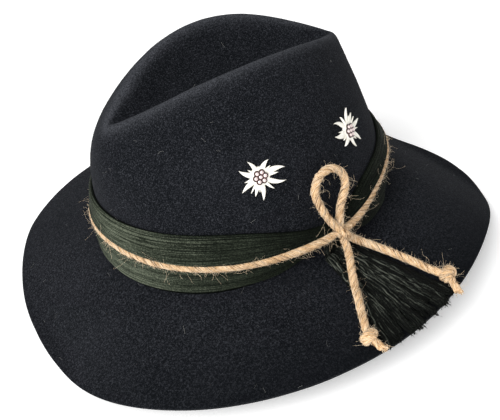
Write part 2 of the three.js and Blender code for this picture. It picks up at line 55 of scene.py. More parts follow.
def placeCamera():
    turn, rise, roll = (math.radians(camera[key]) for key in ("azimuth", "elevation", "roll"))
    back = Vector((math.sin(turn) * math.cos(rise), -math.cos(turn) * math.cos(rise), math.sin(rise)))
    right = Matrix.Rotation(roll, 3, back) @ Vector((math.cos(turn), math.sin(turn), 0))
    place = Matrix((right, back.cross(right), back)).transposed().to_4x4()
    place.translation = (Vector(camera["lookAt"]) + back * camera["distance"]) * mm
    data = bpy.data.cameras.new("hatCamera")
    data.lens = camera["lens"]
    data.sensor_width = camera["sensor"]
    data.sensor_fit = "HORIZONTAL"
    data.clip_start = camera["nearest"] * mm
    holder = linked("hatCamera", data)
    holder.matrix_world = place
    bpy.context.scene.camera = holder


placeCamera()
bpy.context.scene.view_settings.view_transform = "Standard"
bpy.context.scene.view_settings.look = "None"


# shader trees: a socket that takes part in sums, and a bench that adds nodes

class Wire:
    def __init__(self, bench, socket):
        self.bench = bench
        self.socket = socket

    def maths(self, operation, other):
        return self.bench.node("ShaderNodeMath", {"operation": operation}, [self, other])

    def __add__(self, other):
        return self.maths("ADD", other)

    def __mul__(self, other):
        return self.maths("MULTIPLY", other)

    __radd__, __rmul__ = __add__, __mul__

    def between(self, low, high):
        return self.bench.node("ShaderNodeMapRange", {"interpolation_type": "SMOOTHSTEP"},
                               {"Value": self, "From Min": low, "From Max": high})


class Bench:
    def __init__(self, name):
        self.material = bpy.data.materials.new(name)
        self.material.use_nodes = True
        self.tree = self.material.node_tree
        self.tree.nodes.clear()
        self.output = self.tree.nodes.new("ShaderNodeOutputMaterial")

    # settings come first, then the sockets' values or links; the answer is one output
    def node(self, kind, settings=None, sockets=None, out=0):
        made = self.tree.nodes.new(kind)
        for key, value in (settings or {}).items():
            if key == "stops":
                ramp = made.color_ramp
                while len(ramp.elements) < len(value):
                    ramp.elements.new(0.5)
                for element, (place, colour) in zip(ramp.elements, value):
                    element.position = place
                    element.color = (*colour, 1)
            else:
                setattr(made, key, value)
        pairs = sockets.items() if isinstance(sockets, dict) else enumerate(sockets or [])
        for key, value in pairs:
            if isinstance(value, Wire):
                self.tree.links.new(value.socket, made.inputs[key])
            else:
                made.inputs[key].default_value = value
        return Wire(self, made.outputs[out])

    def objectPlace(self):
        return self.node("ShaderNodeTexCoord", out="Object")

    def uvPlace(self, stretch):
        place = self.node("ShaderNodeUVMap", {"uv_map": "UVMap"})
        return self.node("ShaderNodeMapping", None, {"Vector": place, "Scale": stretch})

    def attribute(self, name):
        return self.node("ShaderNodeAttribute", {"attribute_name": name}, out="Fac")

    def speckle(self, place, scale, detail, rough):
        return self.node("ShaderNodeTexNoise", None,
                         {"Vector": place, "Scale": scale, "Detail": detail, "Roughness": rough})

    def ramp(self, factor, *stops):
        return self.node("ShaderNodeValToRGB", {"stops": stops}, {"Fac": factor})

    def mixColour(self, factor, first, second):
        made = self.tree.nodes.new("ShaderNodeMix")
        made.data_type = "RGBA"
        for socket, value in ((made.inputs[0], factor), (made.inputs[6], first), (made.inputs[7], second)):
            if isinstance(value, Wire):
                self.tree.links.new(value.socket, socket)
            else:
                socket.default_value = (*value, 1)
        return Wire(self, made.outputs[2])

    def bump(self, height, strength, distance):
        return self.node("ShaderNodeBump", None, {"Height": height, "Strength": strength, "Distance": distance})

    def surface(self, **sockets):
        shader = self.node("ShaderNodeBsdfPrincipled", None, {
            key.replace("_", " "): (*value, 1) if isinstance(value, tuple) else value
            for key, value in sockets.items()})
        self.tree.links.new(shader.socket, self.output.inputs["Surface"])
        return self.material


# shape of the felt, in millimetres, as the solids have it; the tables run once round the hat from its front

hat = {
    "halfLength": 100.4, "halfWidth": 85.4, "taper": 0.03, "centreX": -9.3, "centreY": 1.3, "felt": 2.4,
    "footHeight": 45, "footWave": 1, "footRounding": 4,
    "crownFront": 102, "crownMiddle": 124, "crownBack": 94,
    "ridgeFront": 80.5, "ridgeBack": 85.5, "ridgeHalfWidth": 38, "ridgeEndWidth": 11.5,
    "ridgeTaper": -0.08, "ridgeSharpness": 2.35, "ridgeRounding": 8,
    "dentEndInset": 14, "dentDepth": 7, "dentSink": 3, "dentCurve": 1.8,
    "frontFullness": 1.5, "sideFullness": 2.9, "backFullness": 4.25,
    "brimReach": 74, "brimDrop": 50, "brimCurve": 1.25, "easing": 4, "contact": 0.54,
    "reach": (1.05, 0.92, 0.975, 1.0, 0.8, 1.0, 0.975, 0.92),
    "drop": (1.01, 0.38, 0.34, 0.52, 1.04, 0.52, 0.34, 0.38),
    "columns": 240,
}
footRadius = (hat["halfLength"] + hat["halfWidth"]) / 2
ridgeCentre = hat["centreX"] + (hat["ridgeFront"] - hat["ridgeBack"]) / 2
ridgeHalf = (hat["ridgeFront"] + hat["ridgeBack"]) / 2
crownEnds = (hat["crownFront"] + hat["crownBack"]) / 2
crownSlope = (hat["crownFront"] - hat["crownBack"]) / 2
upwards = Vector((0, 0, 1))


# a smooth curve from b to c, with a before and d after them
def curveThrough(a, b, c, d, f):
    return 0.5 * (2 * b + (c - a) * f + (2 * a - 5 * b + 4 * c - d) * f * f + (3 * b - a - 3 * c + d) * f ** 3)


def bent(start, corner, end, f):
    return start * (1 - f) ** 2 + corner * (2 * f * (1 - f)) + end * f * f


def around(values, angle):
    count = len(values)
    place = (angle / (2 * math.pi) * count) % count
    first = math.floor(place)
    return curveThrough(*(values[(first + i) % count] for i in (-1, 0, 1, 2)), place - first)


# 1 where the hat faces that many degrees round it, less to either side and nothing behind
def facing(angle, degrees, tightness):
    return max(0, math.cos(angle - math.radians(degrees))) ** tightness


def footPoint(angle):
    c, s = math.cos(angle), math.sin(angle)
    wide = hat["halfWidth"] * (1 - hat["taper"] * c)
    return Vector((hat["centreX"] + hat["halfLength"] * c, hat["centreY"] + wide * s,
                   hat["footHeight"] + hat["footWave"] * math.cos(2 * angle)))


def footOut(angle):
    c, s = math.cos(angle), math.sin(angle)
    alongY = hat["halfWidth"] * (c - hat["taper"] * (c * c - s * s))
    return Vector((alongY, hat["halfLength"] * s, 0)).normalized()


def ridgePoint(angle):
    c, s = math.cos(angle), math.sin(angle)
    wide = (hat["ridgeHalfWidth"] - hat["ridgeEndWidth"]) * abs(s) ** hat["ridgeSharpness"]
    wide += hat["ridgeEndWidth"] * abs(s)
    rise = hat["crownMiddle"] + crownSlope * c + (crownEnds - hat["crownMiddle"]) * c * c
    return Vector((ridgeCentre + ridgeHalf * c,
                   hat["centreY"] + math.copysign(wide, s) * (1 - hat["ridgeTaper"] * c),
                   hat["footHeight"] + rise))


def reachAt(angle):
    return hat["brimReach"] * around(hat["reach"], angle)


def highAt(angle):
    return ridgePoint(angle).z - footPoint(angle).z


def wallPoint(angle, share):
    foot, ridge = footPoint(angle), ridgePoint(angle)
    c, s = math.cos(angle), math.sin(angle)
    fullness = hat["frontFullness"] if c > 0 else hat["backFullness"]
    lean = max(share, 0) ** (c * c * fullness + s * s * hat["sideFullness"])
    return Vector((foot.x + (ridge.x - foot.x) * lean, foot.y + (ridge.y - foot.y) * lean,
                   foot.z + (ridge.z - foot.z) * share))


def brimPoint(angle, share):
    foot = footPoint(angle)
    point = foot + footOut(angle) * (reachAt(angle) * share)
    low = foot.z - hat["brimDrop"] * around(hat["drop"], angle) * max(share, 0) ** hat["brimCurve"] - hat["felt"]
    # the brim eases on to the table where the solids meet it at a crease
    eased = (low + math.sqrt(low * low + hat["easing"] ** 2)) / 2
    point.z = hat["felt"] + math.sqrt(max(eased * eased - hat["contact"] ** 2, 0))
    return point


def dentPoint(angle, share):
    c = math.cos(angle)
    ridge = ridgePoint(angle)
    floor = hat["footHeight"] + crownEnds + crownSlope * c - hat["dentDepth"] * (1 - c * c) - hat["dentSink"]
    x = ridgeCentre + (ridgeHalf - hat["dentEndInset"]) * c
    return Vector((x + (ridge.x - x) * share, hat["centreY"] + (ridge.y - hat["centreY"]) * share,
                   floor + (ridge.z - floor) * share ** hat["dentCurve"]))


# run goes out along the brim from the crown's foot, or up the wall where it is negative
def feltPoint(angle, run):
    reach, high, corner = reachAt(angle), highAt(angle), hat["footRounding"]
    if run >= corner:
        return brimPoint(angle, run / reach)
    if run <= -corner:
        return wallPoint(angle, -run / high)
    return bent(brimPoint(angle, corner / reach), footPoint(angle), wallPoint(angle, corner / high),
                0.5 - run / (2 * corner))


def feltNormal(angle, run):
    along = feltPoint(angle + 0.001, run) - feltPoint(angle - 0.001, run)
    up = feltPoint(angle, run - 0.05) - feltPoint(angle, run + 0.05)
    return along.cross(up).normalized()


def offFelt(angle, run, out):
    return feltPoint(angle, run) + feltNormal(angle, run) * out


# band, cord round it and knot, in millimetres

band = {
    "top": 40, "thickness": 2.6, "swell": 4.2, "underCord": 0.6, "flare": 6.5, "gap": 0.3,
    "grooveFloor": 3.2, "grooveMouth": 7.4, "overCord": 1.0, "underGroove": 0.4, "lip": 0.9,
    "inset": 0.3, "rounding": 2.2, "edgeShare": 0.55, "hemShare": 0.6, "hemLift": 0.02,
    "knotAround": 278, "knotHeight": 19, "gatherHeight": 12, "gatherThickness": 4.5,
    "gatherSpreadBack": 39, "gatherSpreadFront": 26,
    "foot": (0.16, 0.14, 0.1, 0.1, 0.1, 0.1, 0.1, 0.16),
    "flares": (0, 0, 0.2, 0.8, 0.7, 1, 0.4, 0),
    "cord": (0.66, 0.58, 0.5, 0.48, 0.54, 0.45, 0.455, 0.68),
    "columns": 180, "outerRows": 24, "innerRows": 6, "innerInset": 0.4, "threadBed": 0.3,
}
knotAngle = math.radians(band["knotAround"])


# 1 at the knot, where the band is drawn together
def gathered(angle):
    turn = math.atan2(math.sin(angle - knotAngle), math.cos(angle - knotAngle))
    spread = band["gatherSpreadFront"] if turn > 0 else band["gatherSpreadBack"]
    return math.exp(-((turn * footRadius / spread) ** 2))


def bandAt(angle):
    pull = gathered(angle)
    flare = band["flare"] * around(band["flares"], angle)
    foot = -band["top"] * around(band["foot"], angle)
    tied = band["gatherThickness"]
    pairs = {  # where the band is free, and where it is tied
        "top": (band["top"], band["knotHeight"] + band["gatherHeight"] / 2),
        "bottom": (max(flare, foot) if flare > 0 else foot, band["gatherHeight"] / 2 - band["knotHeight"]),
        "cord": (band["top"] * around(band["cord"], angle), band["knotHeight"]),
        "thickness": (band["thickness"], tied), "swell": (band["swell"], tied),
        "underCord": (band["underCord"], tied),
    }
    at = {key: free + (knotted - free) * pull for key, (free, knotted) in pairs.items()}
    at["hem"] = at["bottom"] - (at["top"] + at["bottom"]) * band["hemLift"]
    return at


# paths and the pieces made from them

def smoothPath(points, step, closed=False):
    points = [Vector(p) for p in points]
    count = len(points)
    dense = []
    for i in range(count if closed else count - 1):
        if closed:
            a, b, c, d = (points[(i + k) % count] for k in (-1, 0, 1, 2))
        else:
            b, c = points[i], points[i + 1]
            a = points[i - 1] if i > 0 else b * 2 - c
            d = points[i + 2] if i + 2 < count else c * 2 - b
        dense += [curveThrough(a, b, c, d, k / 12) for k in range(12)]
    dense.append(points[0].copy() if closed else points[-1].copy())
    far = [0]
    for p, q in zip(dense, dense[1:]):
        far.append(far[-1] + (q - p).length)
    steps = max(2, round(far[-1] / step))
    path, at = [], 0
    for k in range(steps + 1):
        want = far[-1] * k / steps
        while at < len(far) - 2 and far[at + 1] < want:
            at += 1
        f = (want - far[at]) / max(far[at + 1] - far[at], 1e-9)
        path.append(dense[at].lerp(dense[at + 1], min(f, 1)))
    return path


def pathLength(path):
    return sum((q - p).length for p, q in zip(path, path[1:]))


def metres(path):
    return [tuple(p * mm) for p in path]


def waver(along, seed, row):
    return noise.noise(Vector((along, seed, row)))


# side turned about ahead
def spoke(side, ahead, turn):
    return side * math.cos(turn) + ahead.cross(side) * math.sin(turn)


# tubes along many paths, in one mesh; each path is (points in mm, radius in mm, tone or a tone for each point)
def threadMesh(name, paths, sides):
    curve = bpy.data.curves.new(name + "Paths", "CURVE")
    curve.dimensions = "3D"
    curve.bevel_depth = mm
    curve.bevel_resolution = (sides - 4) // 2
    curve.use_fill_caps = True
    for points, radius, tone in paths:
        spline = curve.splines.new("POLY")
        spline.points.add(len(points) - 1)
        spline.points.foreach_set("co", [x for p in points for x in (p[0] * mm, p[1] * mm, p[2] * mm, 1)])
        spline.points.foreach_set("radius", [radius] * len(points))
    holder = bpy.data.objects.new(name + "Paths", curve)
    mesh = bpy.data.meshes.new_from_object(holder)
    mesh.name = name
    bpy.data.objects.remove(holder)
    bpy.data.curves.remove(curve)
    # the end caps' corners come first, last path first, then the tubes' rings
    owner = [k for k in reversed(range(len(paths))) for i in range(2 * sides)]
    owner += [k for k, path in enumerate(paths) for i in range(len(path[0]) * sides)]
    if len(owner) != len(mesh.vertices):
        print(name, "has", len(mesh.vertices), "corners, and", len(owner), "were expected")
        return mesh
    tones = [path[2] if isinstance(path[2], list) else [path[2]] * len(path[0]) for path in paths]
    shades = [tones[k][0] for k in owner[:2 * sides * len(paths)]]
    shades += [tone for row in tones for tone in row for i in range(sides)]
    mesh.attributes.new("tone", "FLOAT", "POINT").data.foreach_set("value", shades)
    # the map runs in millimetres along each path, and each path has its own place in it
    long = [pathLength(path[0]) for path in paths]
    corners = [0] * len(mesh.loops)
    mesh.loops.foreach_get("vertex_index", corners)
    flat = [0.0] * (2 * len(corners))
    layer = mesh.uv_layers["UVMap"]
    layer.uv.foreach_get("vector", flat)
    for i, corner in enumerate(corners):
        k = owner[corner]
        flat[2 * i] += 3 * k
        flat[2 * i + 1] = flat[2 * i + 1] * long[k] + 7.7 * k
    layer.uv.foreach_set("vector", flat)
    return mesh


# a hair from start, turning about an axis of its own; keepOff is a normal that it doesn't go below
def curlyHair(rng, start, heading, length, curl, steps, keepOff=None):
    points, heading = [start.copy()], heading.normalized()
    axis = Vector([rng.gauss(0, 1) for i in range(3)]).normalized()
    turn = rng.gauss(0, 1) * curl / steps
    for i in range(steps):
        heading = Matrix.Rotation(turn * rng.uniform(0.5, 1.5), 3, axis) @ heading
        if keepOff and heading.dot(keepOff) < 0:
            heading = (heading - keepOff * (heading.dot(keepOff) * 1.1)).normalized()
        points.append(points[-1] + heading * (length / steps))
    return points


# nodes are the solids that the piece stands for
def addPiece(name, mesh, material, slot, *nodes):
    mesh.materials.clear()
    mesh.materials.append(material)
    mesh.shade_smooth()
    piece = linked(name, mesh)
    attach(piece, "root")
    if nodes:
        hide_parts(*nodes)
    return piece


def addThreads(name, paths, material, slot, *nodes, sides=4):
    return addPiece(name, threadMesh(name, paths, sides), material, slot, *nodes)


def meshFrom(name, bm):
    mesh = bpy.data.meshes.new(name)
    bm.to_mesh(mesh)
    bm.free()
    return mesh


# a flat grid to be shaped, as its corners with their columns and rows
def gridCorners(bm, columns, rows):
    made = bmesh.ops.create_grid(bm, x_segments=columns, y_segments=rows, size=1)["verts"]
    return [(vert, round((vert.co.x + 1) / 2 * columns), round((vert.co.y + 1) / 2 * rows)) for vert in made]


# jute material and rope

juteLook = {"dark": (0.07, 0.028, 0.01), "tan": (0.43, 0.255, 0.115), "pale": (0.7, 0.475, 0.275),
            "cream": (0.9, 0.73, 0.52), "sheen": (0.95, 0.85, 0.7)}


def makeJute():
    bench = Bench("jute")
    place = bench.objectPlace()
    streak = bench.speckle(bench.uvPlace((7, 0.22, 1)), 1, 3, 0.65)
    line = bench.speckle(bench.uvPlace((19, 0.4, 1)), 1, 2, 0.5)
    blotch = bench.speckle(place, 170, 3, 0.6)
    fleck = bench.speckle(place, 1300, 2, 0.5)
    shade = streak * 0.6 + line * 0.6 + blotch * 0.4 + fleck * 0.25 + bench.attribute("tone") * 0.6
    colour = bench.ramp(shade.between(0.6, 1.4), (0, juteLook["dark"]), (0.2, juteLook["tan"]),
                        (0.5, juteLook["pale"]), (0.85, juteLook["cream"]))
    normal = bench.bump(streak * 0.6 + line, 0.8, 0.0004)
    return bench.surface(Base_Color=colour, Roughness=0.8, Specular_IOR_Level=0.25, Sheen_Weight=0.15,
                         Sheen_Roughness=0.5, Sheen_Tint=juteLook["sheen"], Normal=normal)


juteMaterial = makeJute()
rope = {"diameter": 5, "strand": 1.62, "offset": 0.93, "pitch": 17, "step": 1.1, "sides": 10, "wander": 0.12}


# unit vectors along and across a path, the second carried along it without twist
def pathSides(path):
    tangents = []
    for i in range(len(path)):
        tangents.append((path[min(i + 1, len(path) - 1)] - path[max(i - 1, 0)]).normalized())
    side = tangents[0].orthogonal().normalized()
    sides = [side]
    for i in range(1, len(path)):
        side = tangents[i - 1].rotation_difference(tangents[i]) @ side
        side = (side - tangents[i] * side.dot(tangents[i])).normalized()
        sides.append(side)
    return tangents, sides


# three strands twisted about a path
def ropeStrands(path, seed, size=1):
    tangents, sides = pathSides(path)
    strands = []
    for k in range(3):
        points, far = [], 0
        for i, point in enumerate(path):
            if i:
                far += (path[i] - path[i - 1]).length
            phase = 2 * math.pi * (k / 3 + far / (rope["pitch"] * size))
            away = rope["offset"] * size * (1 + rope["wander"] * waver(far * 0.21, k * 7.3, seed))
            points.append(point + spoke(sides[i], tangents[i], phase) * away)
        strands.append((points, rope["strand"] * size, 0))
    return strands


# fibres wound with the twist, whose ends come loose, short dark flecks, and hairs standing off the cord
fuzz = {
    "fibreEvery": 0.6, "fibreLength": (10, 28), "fibreRadius": 0.12, "lay": (0.75, 1.2), "sunk": 0.16,
    "loose": (0.05, 0.6), "loosePart": 0.25, "paleShare": 0.72, "pale": (0.1, 0.7), "dark": (-0.7, -0.3),
    "fleckEvery": 6.5, "fleckSteps": (3, 5), "fleckRadius": (0.12, 0.2), "fleckSunk": 0.05, "fleck": -1.6,
    "hairEvery": 0.27, "hairRadius": 0.036, "hairSunk": 0.25, "hair": (0.5, 1.2), "longest": 14,
    "longEvery": 17, "longFrom": 5, "shortFrom": 0.7, "longCurl": (4.2, 15), "shortCurl": (1.8, 5),
}


# two lists of paths: the fibres and flecks that lie on the cord, and the hairs
def ropeFuzz(path, seed, outward, size=1.0, thick=1.0):
    rng = random.Random(seed)
    tangents, sides = pathSides(path)
    last = len(path) - 1
    long = last * rope["step"]
    skin = (rope["offset"] + rope["strand"]) * size
    fibres, hairs = [], []

    def wound(start, steps, turn, lay, away):
        turns = [turn + 2 * math.pi * lay * j * rope["step"] / (rope["pitch"] * size) for j in range(steps + 1)]
        return [path[start + j] + spoke(sides[start + j], tangents[start + j], turns[j]) * away(j)
                for j in range(steps + 1)]

    for k in range(int(long / fuzz["fibreEvery"] * thick)):
        steps = round(rng.uniform(*fuzz["fibreLength"]) / rope["step"])
        start = rng.randint(0, max(0, last - steps))
        turn, lay = rng.uniform(0, 2 * math.pi), rng.uniform(*fuzz["lay"])
        loose = rng.uniform(*fuzz["loose"])

        def away(j):
            end = max(0, abs(2 * j / max(steps, 1) - 1) - 1 + fuzz["loosePart"]) / fuzz["loosePart"]
            return skin - fuzz["sunk"] + 0.1 * waver(j * 0.3, turn * 9, 1) + loose * end * end

        points = wound(start, min(steps, last - start), turn, lay, away)
        if len(points) > 3:
            tone = rng.uniform(*fuzz["pale"]) if rng.random() < fuzz["paleShare"] else rng.uniform(*fuzz["dark"])
            fibres.append((points, fuzz["fibreRadius"] * rng.uniform(0.6, 1.15) * (0.75 if tone < 0 else 1), tone))
    for k in range(int(long / fuzz["fleckEvery"])):
        start = rng.randint(0, max(0, last - 4))
        turn = rng.uniform(0, 2 * math.pi)
        steps = min(rng.randint(*fuzz["fleckSteps"]), last - start)
        points = wound(start, steps, turn, 1, lambda j: skin - fuzz["fleckSunk"])
        if len(points) > 2:
            fibres.append((points, rng.uniform(*fuzz["fleckRadius"]), fuzz["fleck"]))
    for k in range(int(long / fuzz["hairEvery"] * thick)):
        i = rng.randint(0, last)
        radial = spoke(sides[i], tangents[i], rng.uniform(0, 2 * math.pi))
        out = outward(i)
        if radial.dot(out) < -0.35:
            radial = -radial
        far = k % fuzz["longEvery"] == 0
        length = rng.uniform(fuzz["longFrom"], fuzz["longest"]) if far else fuzz["shortFrom"] + rng.expovariate(0.7)
        heading = radial * rng.uniform(0.35, 1.1) + tangents[i] * rng.choice((-1, 1)) * rng.uniform(0.2, 1)
        hair = curlyHair(rng, path[i] + radial * (skin - fuzz["hairSunk"]), heading, min(length, fuzz["longest"]),
                         *fuzz["longCurl" if far else "shortCurl"], out)
        hairs.append((hair, fuzz["hairRadius"] * rng.uniform(0.7, 1.25), rng.uniform(*fuzz["hair"])))
    return fibres, hairs


def ringPath():
    points = []
    for i in range(120):
        angle = knotAngle + 2 * math.pi * i / 120
        at = bandAt(angle)
        points.append(offFelt(angle, -at["cord"], 2 * band["gap"] + at["underCord"] + rope["diameter"] / 2))
    return smoothPath(points, rope["step"], closed=True)


bow = {
    # x, y, z from the knot's centre: front tail, over the knot, loop, back through it, side tail
    "points": [
        (46.2, -46.5, -25.9), (42.2, -42.5, -24.9), (38.8, -37.9, -23.5), (35.6, -31.9, -21.9), (32, -26.1, -19.9),
        (28.2, -20.3, -18.1), (24.4, -14.5, -16.5), (20.2, -9.1, -14.5), (15, -4.5, -11.7), (8.4, -2.7, -6.3),
        (0.2, -3.7, 3.3),
        (-5.4, -1.9, 11.3), (-8.6, 0.3, 18.5), (-10.8, 2.1, 25.5), (-11.6, 3.9, 31.1), (-10, 5.5, 36.1),
        (-6.4, 6.9, 39.9), (-1.2, 8.1, 41.5), (4.6, 8.9, 40.7), (9.6, 9.1, 37.1), (12.2, 8.5, 31.9),
        (11.8, 7.1, 26.5), (8.6, 5.3, 21.5), (5.2, 3.5, 16.9), (2.6, 1.1, 12.3),
        (0.4, -1.5, 2.7),
        (2.2, -2.7, -5.7), (2.2, -5.9, -10.7), (-1, -12.5, -13.5), (-6.2, -22.3, -16.7), (-10.6, -31.7, -19.9),
        (-14.6, -40.7, -22.5), (-18.6, -49.5, -24.7), (-21.4, -55.7, -26.3), (-22.8, -60.7, -27.7),
    ],
    "knotRadius": 9.5, "clear": 0.15, "overLift": 1.4, "ringDrop": 1.2,
    "frontStub": (44, -59.7, -30.3), "sideStub": (-20, -70.1, -31.7),
}


# first and last index of each stretch of the path that keeps to the test
def stretches(path, test):
    runs, now = [], []
    for i, point in enumerate(path):
        if test(point):
            now.append(i)
        elif now:
            runs.append((now[0], now[-1]))
            now = []
    if now:
        runs.append((now[0], now[-1]))
    return runs


# moves the middle of a stretch of path, and leaves its ends
def lifted(path, first, last, move):
    for i in range(first, last + 1):
        path[i] = path[i] + move * math.sin(math.pi * (i - first) / (last - first)) ** 2


ring = ringPath()
knotCentre = ring[0].copy()
knotOut = feltNormal(knotAngle, -band["knotHeight"])
bowPath = smoothPath([Vector(p) + knotCentre for p in bow["points"]], rope["step"])
frontEnd, sideEnd = bowPath[0].copy(), bowPath[-1].copy()
knotClear = bow["knotRadius"] + bow["clear"]
outsideKnot = stretches(bowPath, lambda p: (p - knotCentre).length > knotClear)
insideKnot = stretches(bowPath, lambda p: (p - knotCentre).length <= knotClear)
ringOut = stretches(ring, lambda p: (p - knotCentre).length > knotClear)[0]
lifted(bowPath, *insideKnot[0], knotOut * bow["overLift"])
bowStrands = ropeStrands(bowPath, 3)
ringMiddle = ring[ringOut[1]:-1] + ring[:ringOut[0] + 1]
lifted(ringMiddle, 0, len(ringMiddle) - 1, knotOut * -bow["ringDrop"])
ringWhole = ring[ringOut[0]:ringOut[1]] + ringMiddle
ringStrands = ropeStrands(ringWhole, 5)
ringOutCount = ringOut[1] - ringOut[0]


def cutStrands(strands, first, last):
    return [(points[first:last + 1], radius, tone) for points, radius, tone in strands]


def ropePiece(name, strands, node):
    return addThreads(name, strands, juteMaterial, "jute", node, sides=rope["sides"])


ropePiece("roundRope", cutStrands(ringStrands, 0, ringOutCount), "cord_round")
frontTo = outsideKnot[0][1]
loopFrom, loopTo = outsideKnot[1]
sideFrom = outsideKnot[2][0]
frontTail = ropePiece("frontTail", cutStrands(bowStrands, 0, frontTo), "cord_tail_front")
bowLoop = ropePiece("bowLoop", cutStrands(bowStrands, loopFrom, loopTo), "cord_loop")
sideTail = ropePiece("sideTail", cutStrands(bowStrands, sideFrom, len(bowPath) - 1), "cord_tail_side")
ropePiece(
    "knotPasses",
    cutStrands(bowStrands, frontTo, loopFrom) + cutStrands(bowStrands, loopTo, sideFrom)
    + cutStrands(ringStrands, ringOutCount, len(ringWhole) - 1), "cord_knot")


# an overhand knot seen as two turns of the cord about its own end, then the stub
endKnot = {"radius": 3.5, "turns": 2.1, "length": 6.6, "lengthShare": 0.75, "size": 0.93,
           "splayed": 5, "splay": 0.9, "frayed": 34, "frayRadius": (0.1, 0.2), "frayLength": (3, 6.5)}


def endKnotPath(end, before, stubEnd, turnFrom):
    ahead = (stubEnd - before).normalized()
    side = ahead.cross(upwards).normalized()
    up = side.cross(ahead)
    points = [before, before.lerp(end, 0.5)]
    for i in range(25):
        t = i / 24
        away = endKnot["radius"] * min(1, math.sin(math.pi * t) * 1.8)
        turn = turnFrom + 2 * math.pi * endKnot["turns"] * t
        points.append(end + ahead * ((t - 0.5) * endKnot["length"] * endKnot["lengthShare"])
                      + side * (away * math.cos(turn)) + up * (away * math.sin(turn)))
    points += [end.lerp(stubEnd, 0.55), end.lerp(stubEnd, 0.8), stubEnd]
    return smoothPath(points, rope["step"])


# the strands spread apart over the stub's last points
def endKnotPiece(name, path, seed, node):
    strands = ropeStrands(path, seed, endKnot["size"])
    for k, (points, radius, tone) in enumerate(strands):
        away = Vector((math.cos(2.1 * k), math.sin(2.1 * k), 0.6)) * endKnot["splay"]
        for i in range(endKnot["splayed"]):
            share = (i + 1) / endKnot["splayed"]
            points[i - endKnot["splayed"]] += away * share * share
    return ropePiece(name, strands, node)


frontStub, sideStub = Vector(bow["frontStub"]) + knotCentre, Vector(bow["sideStub"]) + knotCentre
frontKnotPath = endKnotPath(frontEnd, bowPath[4], frontStub, 0.6)
sideKnotPath = endKnotPath(sideEnd, bowPath[-5], sideStub, 2.4)
frontEndKnot = endKnotPiece("frontEndKnot", frontKnotPath, 0.6, "end_knot_front")
sideEndKnot = endKnotPiece("sideEndKnot", sideKnotPath, 2.4, "end_knot_side")


def offTheBand(i):
    place = ringWhole[i]
    return Vector((place.x - hat["centreX"], place.y - hat["centreY"], 0)).normalized()


# hairs keep off the crown near the knot, and off the brim further out
def offTheHat(i):
    away = bowPath[i] - knotCentre
    return knotOut if away.length < 42 and away.z > -4 else upwards


# the stub's cut end, combed out into separate fibres
def frayed(seed, end, before):
    rng = random.Random(seed)
    ahead = (end - before).normalized()
    side = ahead.orthogonal().normalized()
    paths = []
    for k in range(endKnot["frayed"]):
        off = spoke(side, ahead, rng.uniform(0, 2 * math.pi)) * rng.uniform(0, 1.9)
        path = curlyHair(rng, end - ahead * 2.5 + off * 0.7, ahead + off * 0.22 + upwards * 0.12,
                         rng.uniform(*endKnot["frayLength"]), 0.6, 6, upwards)
        paths.append((path, rng.uniform(*endKnot["frayRadius"]), rng.uniform(-0.2, 0.7)))
    return paths


ringFibres, ringHairs = ropeFuzz(ringWhole, 61, offTheBand)
bowFibres, bowHairs = ropeFuzz(bowPath, 62, offTheHat)
for path, seed in ((frontKnotPath, 63), (sideKnotPath, 64)):
    knotFibres, knotHairs = ropeFuzz(path, seed, lambda i: upwards, size=endKnot["size"], thick=0.8)
    bowFibres += knotFibres
    bowHairs += knotHairs
bowFibres += frayed(65, frontStub, frontEnd) + frayed(66, sideStub, sideEnd)
for name, paths in (("ringFibres", ringFibres), ("ringHairs", ringHairs),
                    ("bowFibres", bowFibres), ("bowHairs", bowHairs)):
    addThreads(name, paths, juteMaterial, "jute")
print("cords laid")

# each free cord from where it leaves the knot
for piece, path, farEnd, onIt in (
        (frontTail, bowPath[frontTo::-1], "knot", [frontEndKnot]),
        (sideTail, bowPath[sideFrom:], "knot", [sideEndKnot]),
        (bowLoop, bowPath[loopFrom:loopTo + 1], "object", [])):
    metres(path)[0]
    pathLength(path) * mm
    metres(path)


# felt: one sheet from the brim's edge up the wall and down into the dent, then given its thickness

felt = {
    "brimRows": 26, "footRows": 6, "wallRows": 34, "ridgeRows": 8, "dentRows": 14, "edge": 1.2, "dentInset": 0.3,
    # after the bevel come the width of the painted highlight along the ridge, and the rows and place of the painted
    # shade at the near edge of the brim
    "bevel": 1.05, "highlightRows": 2.6, "shadeRows": 19, "shadeAt": (285, 0.7),
    "waves": ((22, 0.35), (70, 0.16), (260, 0.07)),  # waves per metre, and their height in millimetres
}


def evenly(first, last, count):
    return [first + (last - first) * i / count for i in range(count)]


def feltProfile(angle):
    high, corner, rounding = highAt(angle), hat["footRounding"], hat["ridgeRounding"]
    runs = evenly(reachAt(angle) + felt["edge"], corner, felt["brimRows"])
    runs += evenly(corner, -corner, felt["footRows"]) + evenly(-corner, rounding - high, felt["wallRows"])
    ridge = wallPoint(angle, 1)
    before = wallPoint(angle, 1 - rounding / high)
    inset = min(rounding / (ridge - dentPoint(angle, 0)).length, felt["dentInset"])
    after = dentPoint(angle, 1 - inset)
    return ([feltPoint(angle, run) for run in runs]
            + [bent(before, ridge, after, share) for share in evenly(0, 1, felt["ridgeRows"])]
            + [dentPoint(angle, share) for share in evenly(1 - inset, 0, felt["dentRows"]) + [0]])


